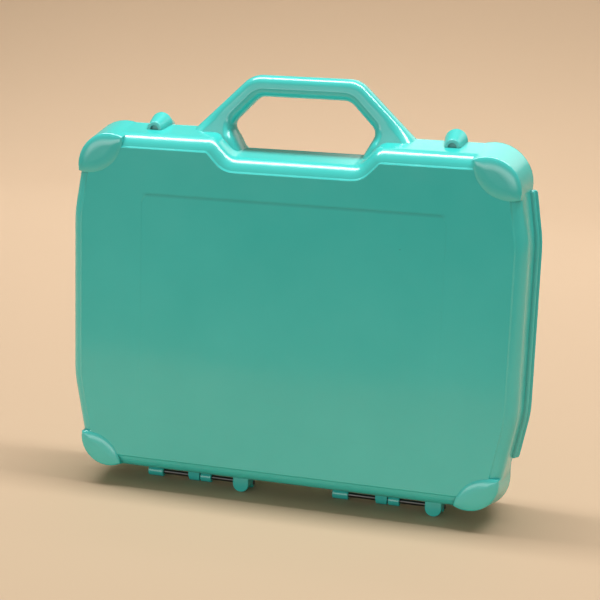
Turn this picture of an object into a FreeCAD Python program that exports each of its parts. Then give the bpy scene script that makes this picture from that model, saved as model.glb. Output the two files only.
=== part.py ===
import FreeCAD, Part
import Sketcher
import math
import os
import re
from FreeCAD import Placement, Rotation, Vector

# Hinged carry case of a fleet guessing game, closed and standing on its hinge lugs.
# X points right, Y to the back and Z up; the two shells meet at y = 0 and the floor is z = 0.
# Both shells are one moulding: the rear one is the front one turned half a turn about Z.

SIZES = {
    # shell outline where the two shells meet
    "shell_depth": 22.4,
    "wall": 2.0,
    "half_width": 117.4,
    "top_height": 188.1,
    "bottom_height": 6.5,
    "kink_high": 142.5,
    "kink_low": 56.9,
    "top_corner": 110.0,
    "low_corner": 108.1,
    "dip_floor": 176.9,
    "dip_half": 28.0,
    "dip_slope": 0.607,
    # how far each wall leans in between the meeting plane and the face
    "side_draft": 1.2,
    "top_draft": 5.0,
    "bottom_draft": 4.3,
    "dip_draft": 2.9,
    "dip_shift": 0.4,
    # rounds of the shell
    "corner_round": 18.0,
    "shoulder_round": 12.0,
    "dip_round": 9.0,
    "rim_round": 7.0,
    "rim_bevel": 3.2,
    # raised face panel and the shallow label recess in it
    "panel_inset": 5.8,
    "panel_rise": 0.5,
    "panel_root": 1.0,
    "label_half": 77.4,
    "label_low": 38.2,
    "label_high": 155.0,
    "label_depth": 0.35,
    "label_round": 5.0,
    # lens-shaped corner guards
    "guard_tip": 88.0,
    "guard_high": 164.4,
    "guard_low": 27.5,
    "guard_sink": 0.6,
    "guard_rise": 1.2,
    "guard_inner_bulge": 8.3,
    "guard_face_bulge": 9.1,
    "guard_back_bulge": 10.8,
    "guard_edge": 4.0,
    # handle half
    "handle_top": 215.2,
    "handle_top_half": 26.4,
    "handle_foot_half": 61.0,
    "handle_root": 184.0,
    "grip_under": 205.5,
    "grip_half": 23.0,
    "grip_wide": 35.8,
    "grip_wide_height": 189.3,
    "grip_foot_half": 27.5,
    "grip_foot": 176.0,
    "handle_half_depth": 5.6,
    "handle_bend": 13.0,
    "grip_bend": 7.0,
    "handle_edge": 2.8,
    # finger lips along both sides
    "lip_reach": 3.0,
    "lip_root": 3.0,
    "lip_thick": 2.6,
    "lip_high": 167.0,
    "lip_low": 33.0,
    "lip_end_round": 2.0,
    # catch humps on the top wall, with their tunnels and tongues
    "hump_place": 75.9,
    "hump_length": 10.5,
    "hump_lift": 0.3,
    "hump_round": 5.7,
    "mouth_round": 3.7,
    "hump_wall": 1.3,
    "tongue_half": 2.0,
    "tongue_thick": 1.1,
    "tongue_lift": 0.7,
    "tongue_reach": 4.0,
    "tongue_root": 4.5,
    "plug_half": 3.0,
    "plug_thick": 2.6,
    "plug_front": 1.0,
    # hinge lugs, knuckles and pins
    "hinge_place": 50.9,
    "lug_reach": 25.0,
    "lug_half": 4.3,
    "lug_length": 9.7,
    "lug_root": 13.0,
    "knuckle_round": 2.75,
    "knuckle_width": 6.1,
    "knuckle_gap": 0.4,
    "pin_radius": 1.25,
    "pin_clear": 0.05,
    "pin_overhang": 0.6,
    # grid plate and its screws
    "plate_depth": 9.0,
    "plate_thick": 2.0,
    "plate_half": 113.6,
    "plate_low": 13.2,
    "plate_high": 169.5,
    "plate_cut": 16.0,
    "hole_pitch": 14.0,
    "hole_across": 3.2,
    "hole_start": -31.0,
    "hole_low": 24.0,
    "boss_radius": 3.4,
    "boss_root": 0.5,
    "screw_across": 2.4,
    "screw_hole": 3.0,
    "screw_length": 8.0,
    "screw_head_across": 5.0,
    "screw_head_high": 1.6,
    "screw_far": 104.2,
    "screw_mid": 38.6,
    "screw_near": 108.6,
    "screw_margin": 1.0,
    # peg bin, its rails and its sliding cover
    "bin_place": 76.0,
    "bin_half": 24.0,
    "bin_low": 24.0,
    "bin_high": 74.0,
    "bin_wall": 1.4,
    "bin_gap": 0.2,
    "cover_lap": 3.0,
    "cover_thick": 1.6,
    "cover_clear": 0.3,
    "cover_seat": 0.1,
    "cover_travel": 48.0,
    "rail_wall": 1.7,
    "rail_lip": 1.5,
    "rail_lip_thick": 1.2,
    "ridge_thick": 1.4,
    "ridge_rise": 0.9,
    "ridge_half": 12.0,
    "ridge_step": 4.0,
    # pegs
    "peg_across": 2.6,
    "peg_shaft": 6.0,
    "peg_head_across": 4.6,
    "peg_head": 4.0,
    "peg_space": 0.1,
    "peg_row_gap": 0.8,
    # ships
    "ship_half": 4.5,
    "ship_hull": 3.4,
    "ship_end": 2.2,
    "stern_half": 2.9,
    "bow_half": 2.7,
    "bow_run": 4.5,
    "bow_taper": 13.5,
    "ship_plug": 1.8,
    "socket_floor": 1.0,
    "house_half": 3.1,
    "house_length": 8.4,
    "house_high": 1.8,
    "bridge_half": 2.3,
    "bridge_length": 4.8,
    "bridge_high": 1.5,
    "turret_radius": 2.4,
    "turret_high": 1.5,
    "barrel_width": 0.8,
    "barrel_reach": 5.0,
    "flight_deck_half": 5.4,
    "flight_deck_thick": 0.75,
    "island_start": 30.8,
    "island_end": 39.2,
    "island_near": 2.5,
    "island_far": 5.0,
    "wheelhouse_start": 3.1,
    "wheelhouse_end": 9.5,
    "wheelhouse_step": 11.5,
    "casing_half": 2.7,
    "casing_high": 0.9,
    "sail_start": 16.8,
    "sail_end": 24.5,
    "sail_half": 1.4,
    "sail_high": 2.5,
}

GRID_COUNT = 10
RIDGE_COUNT = 3
SPARE_PEGS = 4
HALF_TURN = Rotation(Vector(0, 0, 1), 180)
FORWARD = Rotation(Vector(1, 0, 0), 90)
SIDEWAYS = Rotation(Vector(0, 1, 0), 90)

# Sides of the small rounds, which are made as regular polygons
HOLE_SIDES = 4
PEG_SIDES = 6
SCREW_SIDES = 6
BOSS_SIDES = 6
HUMP_SIDES = 8
TURRET_SIDES = 8
BARREL_SIDES = 8
BORE_SIDES = 8
FOOT_SIDES = 12

# Lens outlines: their chords per side, how full they are (1 is a parabola) and how far the front tips draw in
GUARD_STEPS = 4
LENS_FULLNESS = 0.8
LENS_TIP_PULL = 0.1

# Points and planes closer together than this count as one
NEAR = 0.01

doc = FreeCAD.newDocument("fleet_case")
sheet = doc.addObject("Spreadsheet::Sheet", "Size")
for row, (alias, size) in enumerate(SIZES.items(), 1):
    sheet.set(f"A{row}", alias)
    sheet.set(f"B{row}", str(size))
    sheet.setAlias(f"B{row}", alias)
doc.recompute()


# Expressions and sketches

def bound(text):
    """The expression text with every driving size read from the sheet."""
    def from_sheet(word):
        return f"Size.{word.group()}" if word.group() in SIZES else word.group()

    return re.sub(r"[a-z_]+", from_sheet, str(text))


def number(text):
    """The present value of an expression."""
    return float(sheet.evalExpression(bound(text)))


def bind(item, prop, text):
    item.setExpression(prop, bound(text))


def new_body(name):
    return doc.addObject("PartDesign::Body", name)


def new_sketch(body, name, offset="0", plane="XZ_Plane"):
    """A sketch parallel to an origin plane; on XZ_Plane the offset runs towards the front."""
    sketch = body.newObject("Sketcher::SketchObject", name)
    support = [item for item in body.Origin.OriginFeatures if item.Role == plane]
    sketch.AttachmentSupport = [(support[0], "")]
    sketch.MapMode = "FlatFace"
    bind(sketch, "AttachmentOffset.Base.z", offset)
    return sketch


def fix_point(sketch, shape, end, x, y):
    """Ties one point of a sketch to expressions for its two coordinates."""
    for kind, axis, text in (("DistanceX", -2, x), ("DistanceY", -1, y)):
        if abs(number(text)) < NEAR:
            sketch.addConstraint(Sketcher.Constraint("PointOnObject", shape, end, axis))
        else:
            index = sketch.addConstraint(Sketcher.Constraint(kind, -1, 1, shape, end, number(text)))
            bind(sketch, f"Constraints[{index}]", text)


def add_polygon(sketch, corners):
    """A closed polygon through corners, each a pair of expressions."""
    points = [Vector(number(x), number(y), 0) for x, y in corners]
    first = sketch.GeometryCount
    count = len(points)
    for index in range(count):
        sketch.addGeometry(Part.LineSegment(points[index], points[(index + 1) % count]))
    for index in range(count):
        sketch.addConstraint(
            Sketcher.Constraint("Coincident", first + index, 2, first + (index + 1) % count, 1))
    for index, (x, y) in enumerate(corners):
        fix_point(sketch, first + index, 1, x, y)


def add_box(sketch, left, low, right, high):
    add_polygon(sketch, [(left, low), (right, low), (right, high), (left, high)])


def add_regular(sketch, x, y, across, sides):
    """A regular polygon given by its centre, its width across flats and its number of sides."""
    corners = []
    for index in range(sides):
        angle = (index + 0.5) * math.tau / sides
        scale = 0.5 / math.cos(math.pi / sides)
        corners.append((f"{x} + ({across}) * {scale * math.cos(angle):.6f}",
                        f"{y} + ({across}) * {scale * math.sin(angle):.6f}"))
    add_polygon(sketch, corners)


def add_arch(sketch, x, y, radius, sides):
    """The upper half of a many-sided round, closed by its flat floor."""
    corners = []
    for index in range(sides + 1):
        angle = index * math.pi / sides
        corners.append((f"{x} + ({radius}) * {math.cos(angle):.6f}",
                        f"{y} + ({radius}) * {math.sin(angle):.6f}"))
    add_polygon(sketch, corners)


def lens_side(start, end, bulge, steps):
    """Points from start towards end along a shallow arc that bulges to the right of that way."""
    run = f"({end[0]} - ({start[0]}))"
    rise = f"({end[1]} - ({start[1]}))"
    length = f"sqrt({run} * {run} + {rise} * {rise})"
    points = []
    for index in range(steps):
        part = index / steps
        height = (4 * part * (1 - part)) ** LENS_FULLNESS
        points.append((f"{start[0]} + {part:.5f} * {run} + {height:.5f} * ({bulge}) * {rise} / {length}",
                       f"{start[1]} + {part:.5f} * {rise} - {height:.5f} * ({bulge}) * {run} / {length}"))
    return points


# Features

def pad(body, sketch, name, length, backwards=False):
    feature = body.newObject("PartDesign::Pad", name)
    feature.Profile = sketch
    feature.Reversed = backwards
    bind(feature, "Length", length)
    return feature


def pocket(body, sketch, name, length, backwards=False):
    feature = body.newObject("PartDesign::Pocket", name)
    feature.Profile = sketch
    feature.Reversed = backwards
    bind(feature, "Length", length)
    return feature


def loft(body, sections, name, kind="AdditiveLoft"):
    feature = body.newObject(f"PartDesign::{kind}", name)
    feature.Profile = sections[0]
    feature.Sections = sections[1:]
    feature.Ruled = True
    return feature


def send_along(feature, x, y, z):
    """Sends a pad or pocket along a slanting direction instead of straight from its sketch."""
    feature.UseCustomVector = True
    feature.Direction = Vector(number(x), number(y), number(z))
    for axis, text in (("x", x), ("y", y), ("z", z)):
        bind(feature, f"Direction.{axis}", text)


def on_both_sides(body, feature, name):
    """Repeats a feature of the body on the other side of the middle plane."""
    copy = body.newObject("PartDesign::Mirrored", name)
    copy.Originals = [feature]
    plane = [item for item in body.Origin.OriginFeatures if item.Role == "YZ_Plane"]
    copy.MirrorPlane = (plane[0], [""])
    body.Tip = copy


def dress_edges(body, name, kind, prop, size, test):
    """A fillet or chamfer on every edge of the body so far for which test is true."""
    doc.recompute()
    base = body.Tip
    edges = [f"Edge{index}" for index, edge in enumerate(base.Shape.Edges, 1) if test(edge)]
    feature = body.newObject(f"PartDesign::{kind}", name)
    feature.Base = (base, edges)
    bind(feature, prop, size)


def round_edges(body, name, radius, test):
    dress_edges(body, name, "Fillet", "Radius", radius, test)


def bevel_edges(body, name, size, test):
    dress_edges(body, name, "Chamfer", "Size", size, test)


def runs_from(edge, points):
    """True for an edge that leaves the meeting plane at one of the given points."""
    ends = [vertex.Point for vertex in edge.Vertexes]
    if len(ends) < 2 or abs(ends[0].y - ends[1].y) < NEAR:
        return False
    end = max(ends, key=lambda point: point.y)
    return any(math.hypot(end.x - x, end.z - z) < NEAR for x, z in points)


def lies_at(edge, depth):
    """True for an edge that lies in the plane at a depth in front of the meeting plane."""
    box = edge.BoundBox
    return abs(box.YMin + depth) < NEAR and abs(box.YMax + depth) < NEAR


def rod(name, radius, length, x, y, z, turn):
    """A cylinder whose axis is Z turned by a rotation, standing at a place."""
    item = doc.addObject("Part::Cylinder", name)
    item.Placement = Placement(Vector(), turn)
    bind(item, "Radius", radius)
    bind(item, "Height", length)
    for axis, text in (("x", x), ("y", y), ("z", z)):
        bind(item, f"Placement.Base.{axis}", text)
    return item


def prism(name, across, sides, length, x, y, z, turn):
    """A straight bar with a regular section, standing at a place like a rod."""
    item = doc.addObject("Part::Prism", name)
    item.Polygon = sides
    item.Placement = Placement(Vector(), turn)
    bind(item, "Circumradius", f"({across}) / 2 / {math.cos(math.pi / sides):.6f}")
    bind(item, "Height", length)
    for axis, text in (("x", x), ("y", y), ("z", z)):
        bind(item, f"Placement.Base.{axis}", text)
    return item


def mirrored(item, name):
    """The same piece on the other side of the middle of the case."""
    copy = doc.addObject("Part::Mirroring", name)
    copy.Source = item
    copy.Normal = Vector(1, 0, 0)
    return copy


def turned(item, name):
    """A second piece out of the same mould, turned half a turn about the middle of the case."""
    copy = doc.addObject("Part::Compound", name)
    copy.Links = [item]
    copy.Placement = Placement(Vector(), HALF_TURN)
    return copy


def fused(name, items):
    item = doc.addObject("Part::MultiFuse", name)
    item.Shapes = items
    item.Refine = True
    return item


def cut(name, base, tool):
    item = doc.addObject("Part::Cut", name)
    item.Base = base
    item.Tool = tool
    item.Refine = True
    return item


# The shell outline, as a function of how far it has leaned in and how far it is drawn inwards

TOP_LEAN = "(half_width - top_corner) / (top_height - kink_high)"
LOW_LEAN = "(half_width - low_corner) / (kink_low - bottom_height)"


def side_x(z, lean, grow="0"):
    """Half-width of the shell at a height above the upper or below the lower kink."""
    half = f"(half_width - {lean} * side_draft + ({grow}))"
    if number(z) > number("kink_high"):
        return f"({half} - {TOP_LEAN} * ({z} - kink_high))"
    return f"({half} - {LOW_LEAN} * (kink_low - ({z})))"


def outline(lean, inset):
    """Right half of the outline: lean is 0 at the meeting plane and 1 at the face."""
    top = f"(top_height - {lean} * top_draft - ({inset}))"
    low = f"(bottom_height + {lean} * bottom_draft + ({inset}))"
    floor = f"(dip_floor - {lean} * dip_draft - ({inset}))"
    half = f"(half_width - {lean} * side_draft - ({inset}))"
    dip = f"(dip_half + dip_shift * ({inset}))"
    return {
        "dip": (dip, floor),
        "shoulder": (f"({dip} + ({top} - {floor}) / dip_slope)", top),
        "top_corner": (side_x(top, lean, f"-({inset})"), top),
        "kink_high": (half, "kink_high"),
        "kink_low": (half, "kink_low"),
        "low_corner": (side_x(low, lean, f"-({inset})"), low),
    }


def both_sides(corners):
    """The right half of an outline with its mirror image, in one closed order."""
    right = list(corners.values())
    left = [(f"-({x})", z) for x, z in reversed(right)]
    return right + left


def round_outline(body, name, corners, rounds):
    """Rounds the edges that run to the face from the named corners of an outline."""
    for corner, radius in rounds.items():
        x, z = (number(text) for text in corners[corner])
        round_edges(body, f"{name}_{corner}_round", radius,
                    lambda edge: runs_from(edge, [(x, z), (-x, z)]))


def shell_block(name, inset):
    """A solid with the shell's leaning walls, drawn in by inset on every side."""
    body = new_body(name)
    depth = f"(shell_depth - {inset})"
    back = outline(0, inset)
    face = outline(1, inset)
    profile = new_sketch(body, name + "_profile", "-half_width", "YZ_Plane")
    add_polygon(profile, [
        ("0", back["low_corner"][1]),
        ("0", back["top_corner"][1]),
        (f"-{depth}", face["top_corner"][1]),
        (f"-{depth}", face["low_corner"][1]),
    ])
    pad(body, profile, name + "_pad", "2 * half_width")

    beyond = "(half_width + corner_round)"
    side = new_sketch(body, name + "_side_outline")
    run = [back[corner] for corner in ("low_corner", "kink_low", "kink_high", "top_corner")]
    add_polygon(side, run + [
        (run[-1][0], "top_height + corner_round"),
        (beyond, "top_height + corner_round"),
        (beyond, "bottom_height - corner_round"),
        (run[0][0], "bottom_height - corner_round"),
    ])
    sides = pocket(body, side, name + "_side", "shell_depth + side_draft")
    send_along(sides, "-side_draft", f"-{depth}", "0")
    on_both_sides(body, sides, name + "_sides")

    above = "(top_height + corner_round)"
    reach = f"({back['dip'][0]} + ({above} - {back['dip'][1]}) / dip_slope)"
    dip = new_sketch(body, name + "_dip_outline")
    add_polygon(dip, [
        (f"-{back['dip'][0]}", back["dip"][1]),
        back["dip"],
        (reach, above),
        (f"-{reach}", above),
    ])
    floor = pocket(body, dip, name + "_dip", "shell_depth + dip_draft")
    send_along(floor, "0", f"-{depth}", "-dip_draft")
    round_outline(body, name, back, {
        "top_corner": f"corner_round - {inset}",
        "low_corner": f"corner_round - {inset}",
    })
    return body


def shell_outside(name):
    """The outer form of a shell: its block with rounded dip and rim."""
    body = shell_block(name, "0")
    round_outline(body, name, outline(0, "0"), {
        "shoulder": "shoulder_round",
        "dip": "dip_round",
    })
    round_edges(body, name + "_rim", "rim_round", lambda edge: lies_at(edge, number("shell_depth")))
    return body


def shell_cavity(name):
    """The hollow of a shell, bevelled round its floor to follow the rounded rim outside."""
    body = shell_block(name, "wall")
    bevel_edges(body, name + "_rim", "rim_bevel", lambda edge: lies_at(edge, number("shell_depth - wall")))
    return body


def face_panel(name):
    """The slightly raised panel inside the rim, with its shallow label recess."""
    body = new_body(name)
    root = "shell_depth - panel_root"
    corners = outline(1, "panel_inset")
    sketch = new_sketch(body, name + "_outline", root)
    add_polygon(sketch, both_sides(corners))
    pad(body, sketch, name + "_pad", "panel_root + panel_rise")
    round_outline(body, name, corners, {
        "shoulder": "shoulder_round - panel_inset",
        "dip": "dip_round + panel_inset",
    })
    recess = new_sketch(body, name + "_label", "shell_depth + panel_rise")
    add_box(recess, "-label_half", "label_low", "label_half", "label_high")
    pocket(body, recess, name + "_recess", "label_depth")
    bottom = number("shell_depth + panel_rise - label_depth")
    round_edges(body, name + "_label_round", "label_round", lambda edge: (
        edge.BoundBox.YLength > NEAR and abs(edge.BoundBox.YMax + bottom) < NEAR
        and abs(abs(edge.BoundBox.XMin) - number("label_half")) < NEAR))
    return body


def corner_guard(name, high):
    """A pillow-like guard across one right-hand corner, an upper or a lower one."""
    body = new_body(name)
    front = "shell_depth + panel_rise + guard_rise"
    stages = (
        (0, "0", "guard_back_bulge", 0),
        (1, f"{front} - guard_edge", "guard_face_bulge", 0),
        (1, front, "guard_face_bulge", 1),
    )
    sections = []
    for index, (slant, offset, bulge, edge) in enumerate(stages):
        if high:
            wall = ("guard_tip", f"top_height - {slant} * top_draft - guard_sink")
            side = (f"{side_x('guard_high', slant)} - guard_sink", "guard_high")
        else:
            side = ("guard_tip", f"bottom_height + {slant} * bottom_draft + guard_sink")
            wall = (f"{side_x('guard_low', slant)} - guard_sink", "guard_low")
        pull = LENS_TIP_PULL * edge
        tips = [tuple(f"{first} + {pull} * ({second} - ({first}))" for first, second in zip(one, other))
                for one, other in ((wall, side), (side, wall))]
        sketch = new_sketch(body, f"{name}_lens_{index}", offset)
        inner = lens_side(tips[0], tips[1], f"guard_inner_bulge - {edge} * guard_edge", GUARD_STEPS)
        outer = lens_side(tips[1], tips[0], f"{bulge} - {edge} * guard_edge", GUARD_STEPS)
        add_polygon(sketch, inner + outer)
        sections.append(sketch)
    loft(body, sections, name + "_loft")
    return body


def handle_half(name):
    """Half of the carrying handle, flat where it meets the other half."""
    body = new_body(name)
    sketch = new_sketch(body, name + "_outline")
    right = {
        "foot": ("handle_foot_half", "handle_root"),
        "bend": ("handle_top_half", "handle_top"),
    }
    under = {
        "bend": ("grip_half", "grip_under"),
        "wide": ("grip_wide", "grip_wide_height"),
        "foot": ("grip_foot_half", "grip_foot"),
    }
    outer = list(right.values()) + [(f"-{x}", z) for x, z in reversed(right.values())]
    inner = [(f"-{x}", z) for x, z in reversed(under.values())] + list(under.values())
    add_polygon(sketch, outer + inner)
    pad(body, sketch, name + "_pad", "handle_half_depth")
    for corners, part, radius in ((right, "outer", "handle_bend"), (under, "inner", "grip_bend")):
        round_outline(body, f"{name}_{part}", corners, {"bend": radius})
    front = number("handle_half_depth")
    root = number("handle_root")
    bevel_edges(body, name + "_edge", "handle_edge", lambda edge: (
        lies_at(edge, front) and edge.BoundBox.ZMax > root))
    return body


def finger_lip(name):
    """The strip that stands out along one side where the shells meet."""
    body = new_body(name)
    sketch = new_sketch(body, name + "_outline")
    line = []
    for grow in ("lip_reach", "-lip_root"):
        run = [
            (side_x("lip_high", 0, grow), "lip_high"),
            (f"half_width + ({grow})", "kink_high"),
            (f"half_width + ({grow})", "kink_low"),
            (side_x("lip_low", 0, grow), "lip_low"),
        ]
        line += run if not line else reversed(run)
    add_polygon(sketch, line)
    pad(body, sketch, name + "_pad", "lip_thick")
    ends = [(number(x), number(z)) for x, z in (line[0], line[3])]
    round_edges(body, name + "_ends", "lip_end_round", lambda edge: runs_from(edge, ends))
    return body


HUMP_BACK = "top_height + hump_lift"
HUMP_FRONT = "top_height + hump_lift - top_draft * hump_length / shell_depth"


def catch_hump(name):
    """The tapering half-cone on the top wall; its lower half is lost inside the wall."""
    body = new_body(name)
    back = new_sketch(body, name + "_back")
    add_regular(back, "hump_place", HUMP_BACK, "2 * hump_round", HUMP_SIDES)
    front = new_sketch(body, name + "_mouth", "hump_length")
    add_regular(front, "hump_place", HUMP_FRONT, "2 * mouth_round", HUMP_SIDES)
    loft(body, [back, front], name + "_loft")
    return body


def catch_tunnel(name):
    """The hollow of the hump, open at its mouth and at the meeting plane."""
    body = new_body(name)
    back = new_sketch(body, name + "_back")
    add_arch(back, "hump_place", HUMP_BACK, "hump_round - hump_wall", HUMP_SIDES // 2)
    front = new_sketch(body, name + "_mouth", "hump_length")
    add_arch(front, "hump_place", HUMP_FRONT, "mouth_round - hump_wall", HUMP_SIDES // 2)
    loft(body, [back, front], name + "_loft")
    return body


def catch_tongue(name):
    """The snap tongue that grows from one hump and enters the other shell's tunnel."""
    body = new_body(name)
    low = "top_height + tongue_lift"
    sketch = new_sketch(body, name + "_section", "-tongue_reach")
    add_box(sketch, "-hump_place - tongue_half", low, "-hump_place + tongue_half", f"{low} + tongue_thick")
    pad(body, sketch, name + "_pad", "tongue_reach + tongue_root")
    plug = new_sketch(body, name + "_plug_section", "plug_front")
    add_box(plug, "-hump_place - plug_half", "top_height",
            "-hump_place + plug_half", "top_height + plug_thick")
    pad(body, plug, name + "_plug", "tongue_root - plug_front")
    return body


LUGS = ("-hinge_place + lug_reach", "hinge_place + lug_reach")
KNUCKLES = ("-hinge_place - knuckle_gap / 2 - knuckle_width", "hinge_place - knuckle_gap / 2 - knuckle_width")


def hinge_lug(name, place):
    """A round-bottomed lug that the case stands on, with the knuckle for the pin at its back."""
    body = new_body(name)
    web = new_sketch(body, name + "_web")
    add_box(web, f"{place} - lug_half", "lug_half", f"{place} + lug_half", "lug_root")
    pad(body, web, name + "_web_pad", "lug_length")
    foot = new_sketch(body, name + "_foot")
    add_regular(foot, place, "lug_half", "2 * lug_half", FOOT_SIDES)
    pad(body, foot, name + "_foot_pad", "lug_length")
    knuckle = new_sketch(body, name + "_knuckle", f"{place} - lug_half", "YZ_Plane")
    add_regular(knuckle, "0", "knuckle_round", "2 * knuckle_round", BARREL_SIDES)
    pad(body, knuckle, name + "_knuckle_pad", "2 * lug_half")
    return body


def hinge_knuckle(name, place):
    """One of the two narrow knuckles in the middle of a hinge."""
    body = new_body(name)
    arm = new_sketch(body, name + "_arm", place, "YZ_Plane")
    add_box(arm, "-knuckle_round", "knuckle_round", "0", "lug_root")
    pad(body, arm, name + "_arm_pad", "knuckle_width")
    barrel = new_sketch(body, name + "_barrel", place, "YZ_Plane")
    add_regular(barrel, "0", "knuckle_round", "2 * knuckle_round", BARREL_SIDES)
    pad(body, barrel, name + "_barrel_pad", "knuckle_width")
    return body


SCREW_PLACES = [
    ("screw_far", "hole_low + hole_pitch"),
    ("screw_far", "hole_low + 8 * hole_pitch"),
    ("-screw_mid", "plate_low + boss_radius"),
    ("-screw_mid", "plate_high - boss_radius - screw_margin"),
    ("-screw_near", "bin_low + hole_pitch"),
    ("-screw_near", "bin_low + 7 * hole_pitch"),
]
PLATE_UNDER = "plate_depth + plate_thick"


def screw_bosses(name):
    """Tubes from the shell's floor to the underside of the grid plate, one for each screw."""
    length = f"shell_depth - wall + boss_root - ({PLATE_UNDER})"
    tubes = []
    for index, (x, z) in enumerate(SCREW_PLACES, 1):
        under = f"-({PLATE_UNDER})"
        post = prism(f"{name}_post_{index}", "2 * boss_radius", BOSS_SIDES, length, x, under, z, FORWARD)
        pilot = prism(f"{name}_pilot_{index}", "screw_hole", SCREW_SIDES, length, x, under, z, FORWARD)
        tubes.append(cut(f"{name}_{index}", post, pilot))
    return tubes


def make_shell(name):
    """One moulded half of the case."""
    outer = [shell_outside(name + "_block"), face_panel(name + "_panel")]
    for corner, high in (("upper", True), ("lower", False)):
        guard = corner_guard(f"{name}_{corner}_guard", high)
        outer += [guard, mirrored(guard, f"{name}_{corner}_guard_left")]
    outer.append(handle_half(name + "_handle"))
    for make, part in ((finger_lip, "lip"), (catch_hump, "hump")):
        piece = make(f"{name}_{part}")
        outer += [piece, mirrored(piece, f"{name}_{part}_left")]
    for index, place in enumerate(LUGS, 1):
        outer.append(hinge_lug(f"{name}_lug_{index}", place))
    for index, place in enumerate(KNUCKLES, 1):
        outer.append(hinge_knuckle(f"{name}_knuckle_{index}", place))
    tunnel = catch_tunnel(name + "_tunnel")
    hollow = [
        shell_cavity(name + "_cavity"),
        tunnel,
        mirrored(tunnel, name + "_tunnel_left"),
        prism(name + "_bore", "2 * (pin_radius + pin_clear)", BORE_SIDES, "2 * half_width",
              "-half_width", "0", "knuckle_round", SIDEWAYS),
    ]
    moulding = cut(name + "_moulding", fused(name + "_outside", outer), fused(name + "_hollow", hollow))
    return fused(name, [moulding, catch_tongue(name + "_tongue")] + screw_bosses(name + "_boss"))


# Pieces inside the case

def make_pin(name, side):
    """A hinge pin through the four knuckles of one hinge."""
    reach = "(lug_reach + lug_half + pin_overhang)"
    return rod(name, "pin_radius", f"2 * {reach}",
               f"({side}) * hinge_place - {reach}", "0", "knuckle_round", SIDEWAYS)


BIN_FLOOR = "shell_depth - wall - bin_gap"
RAIL_INSIDE = "bin_half + cover_lap + cover_clear"
COVER_LOW = "bin_low - cover_lap"
COVER_HIGH = "bin_high + cover_lap"
RAIL_LOW = f"{COVER_LOW} - cover_seat - rail_wall"
RAIL_HIGH = f"{COVER_HIGH} + cover_travel + cover_clear + rail_wall"
RAIL_RISE = "cover_seat + cover_thick + cover_clear"


def make_grid(name):
    """The peg grid plate with its peg bin and the two rails that the bin cover slides in."""
    body = new_body(name)
    sketch = new_sketch(body, name + "_outline", "plate_depth")
    inwards = "plate_half - half_width"
    right = [
        ("plate_half - plate_cut", "plate_high"),
        (side_x("(plate_high - plate_cut)", 0, inwards), "plate_high - plate_cut"),
        ("plate_half", "kink_high"),
        ("plate_half", "kink_low"),
        (side_x("(plate_low + plate_cut)", 0, inwards), "plate_low + plate_cut"),
        ("plate_half - plate_cut - panel_inset", "plate_low"),
    ]
    add_polygon(sketch, right + [(f"-({x})", z) for x, z in reversed(right)])
    pad(body, sketch, name + "_plate", "plate_thick")

    tray = new_sketch(body, name + "_bin_outside", "plate_depth")
    add_box(tray, "-bin_place - bin_half - bin_wall", "bin_low - bin_wall",
            "-bin_place + bin_half + bin_wall", "bin_high + bin_wall")
    pad(body, tray, name + "_bin", f"{BIN_FLOOR} - plate_depth")
    inside = new_sketch(body, name + "_bin_inside", "plate_depth")
    add_box(inside, "-bin_place - bin_half", "bin_low", "-bin_place + bin_half", "bin_high")
    pocket(body, inside, name + "_bin_hollow", f"{BIN_FLOOR} - bin_wall - plate_depth", True)

    for side, sign in (("near", 1), ("far", -1)):
        rail = new_sketch(body, f"{name}_{side}_rail_section", RAIL_LOW, "XY_Plane")
        inner = f"-bin_place + ({sign}) * ({RAIL_INSIDE})"
        outer = f"-bin_place + ({sign}) * ({RAIL_INSIDE} + rail_wall)"
        lip = f"-bin_place + ({sign}) * ({RAIL_INSIDE} - rail_lip)"
        add_polygon(rail, [
            (outer, "-plate_depth"),
            (outer, f"-plate_depth + {RAIL_RISE} + rail_lip_thick"),
            (lip, f"-plate_depth + {RAIL_RISE} + rail_lip_thick"),
            (lip, f"-plate_depth + {RAIL_RISE}"),
            (inner, f"-plate_depth + {RAIL_RISE}"),
            (inner, "-plate_depth"),
        ])
        pad(body, rail, f"{name}_{side}_rail", f"{RAIL_HIGH} - ({RAIL_LOW})")
    for stop, low in (("low", RAIL_LOW), ("high", f"{RAIL_HIGH} - rail_wall")):
        bar = new_sketch(body, f"{name}_{stop}_stop_outline", "plate_depth")
        add_box(bar, f"-bin_place - ({RAIL_INSIDE})", low,
                f"-bin_place + ({RAIL_INSIDE})", f"{low} + rail_wall")
        pad(body, bar, f"{name}_{stop}_stop", RAIL_RISE, True)

    for index, (x, z) in enumerate(SCREW_PLACES, 1):
        seat = new_sketch(body, f"{name}_screw_seat_{index}", "plate_depth")
        add_regular(seat, x, z, "screw_hole", SCREW_SIDES)
        pocket(body, seat, f"{name}_screw_hole_{index}", "plate_thick", True)

    first = new_sketch(body, name + "_hole_outline", "plate_depth")
    add_regular(first, "hole_start", "hole_low", "hole_across", HOLE_SIDES)
    hole = pocket(body, first, name + "_hole", "plate_thick", True)
    rows = body.newObject("PartDesign::MultiTransform", name + "_holes")
    rows.Originals = [hole]
    steps = []
    for axis in ("H_Axis", "V_Axis"):
        step = body.newObject("PartDesign::LinearPattern", f"{name}_holes_{axis}")
        step.Direction = (first, [axis])
        step.Occurrences = GRID_COUNT
        bind(step, "Length", f"hole_pitch * {GRID_COUNT - 1}")
        steps.append(step)
    rows.Transformations = steps
    body.Tip = rows
    return body


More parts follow.
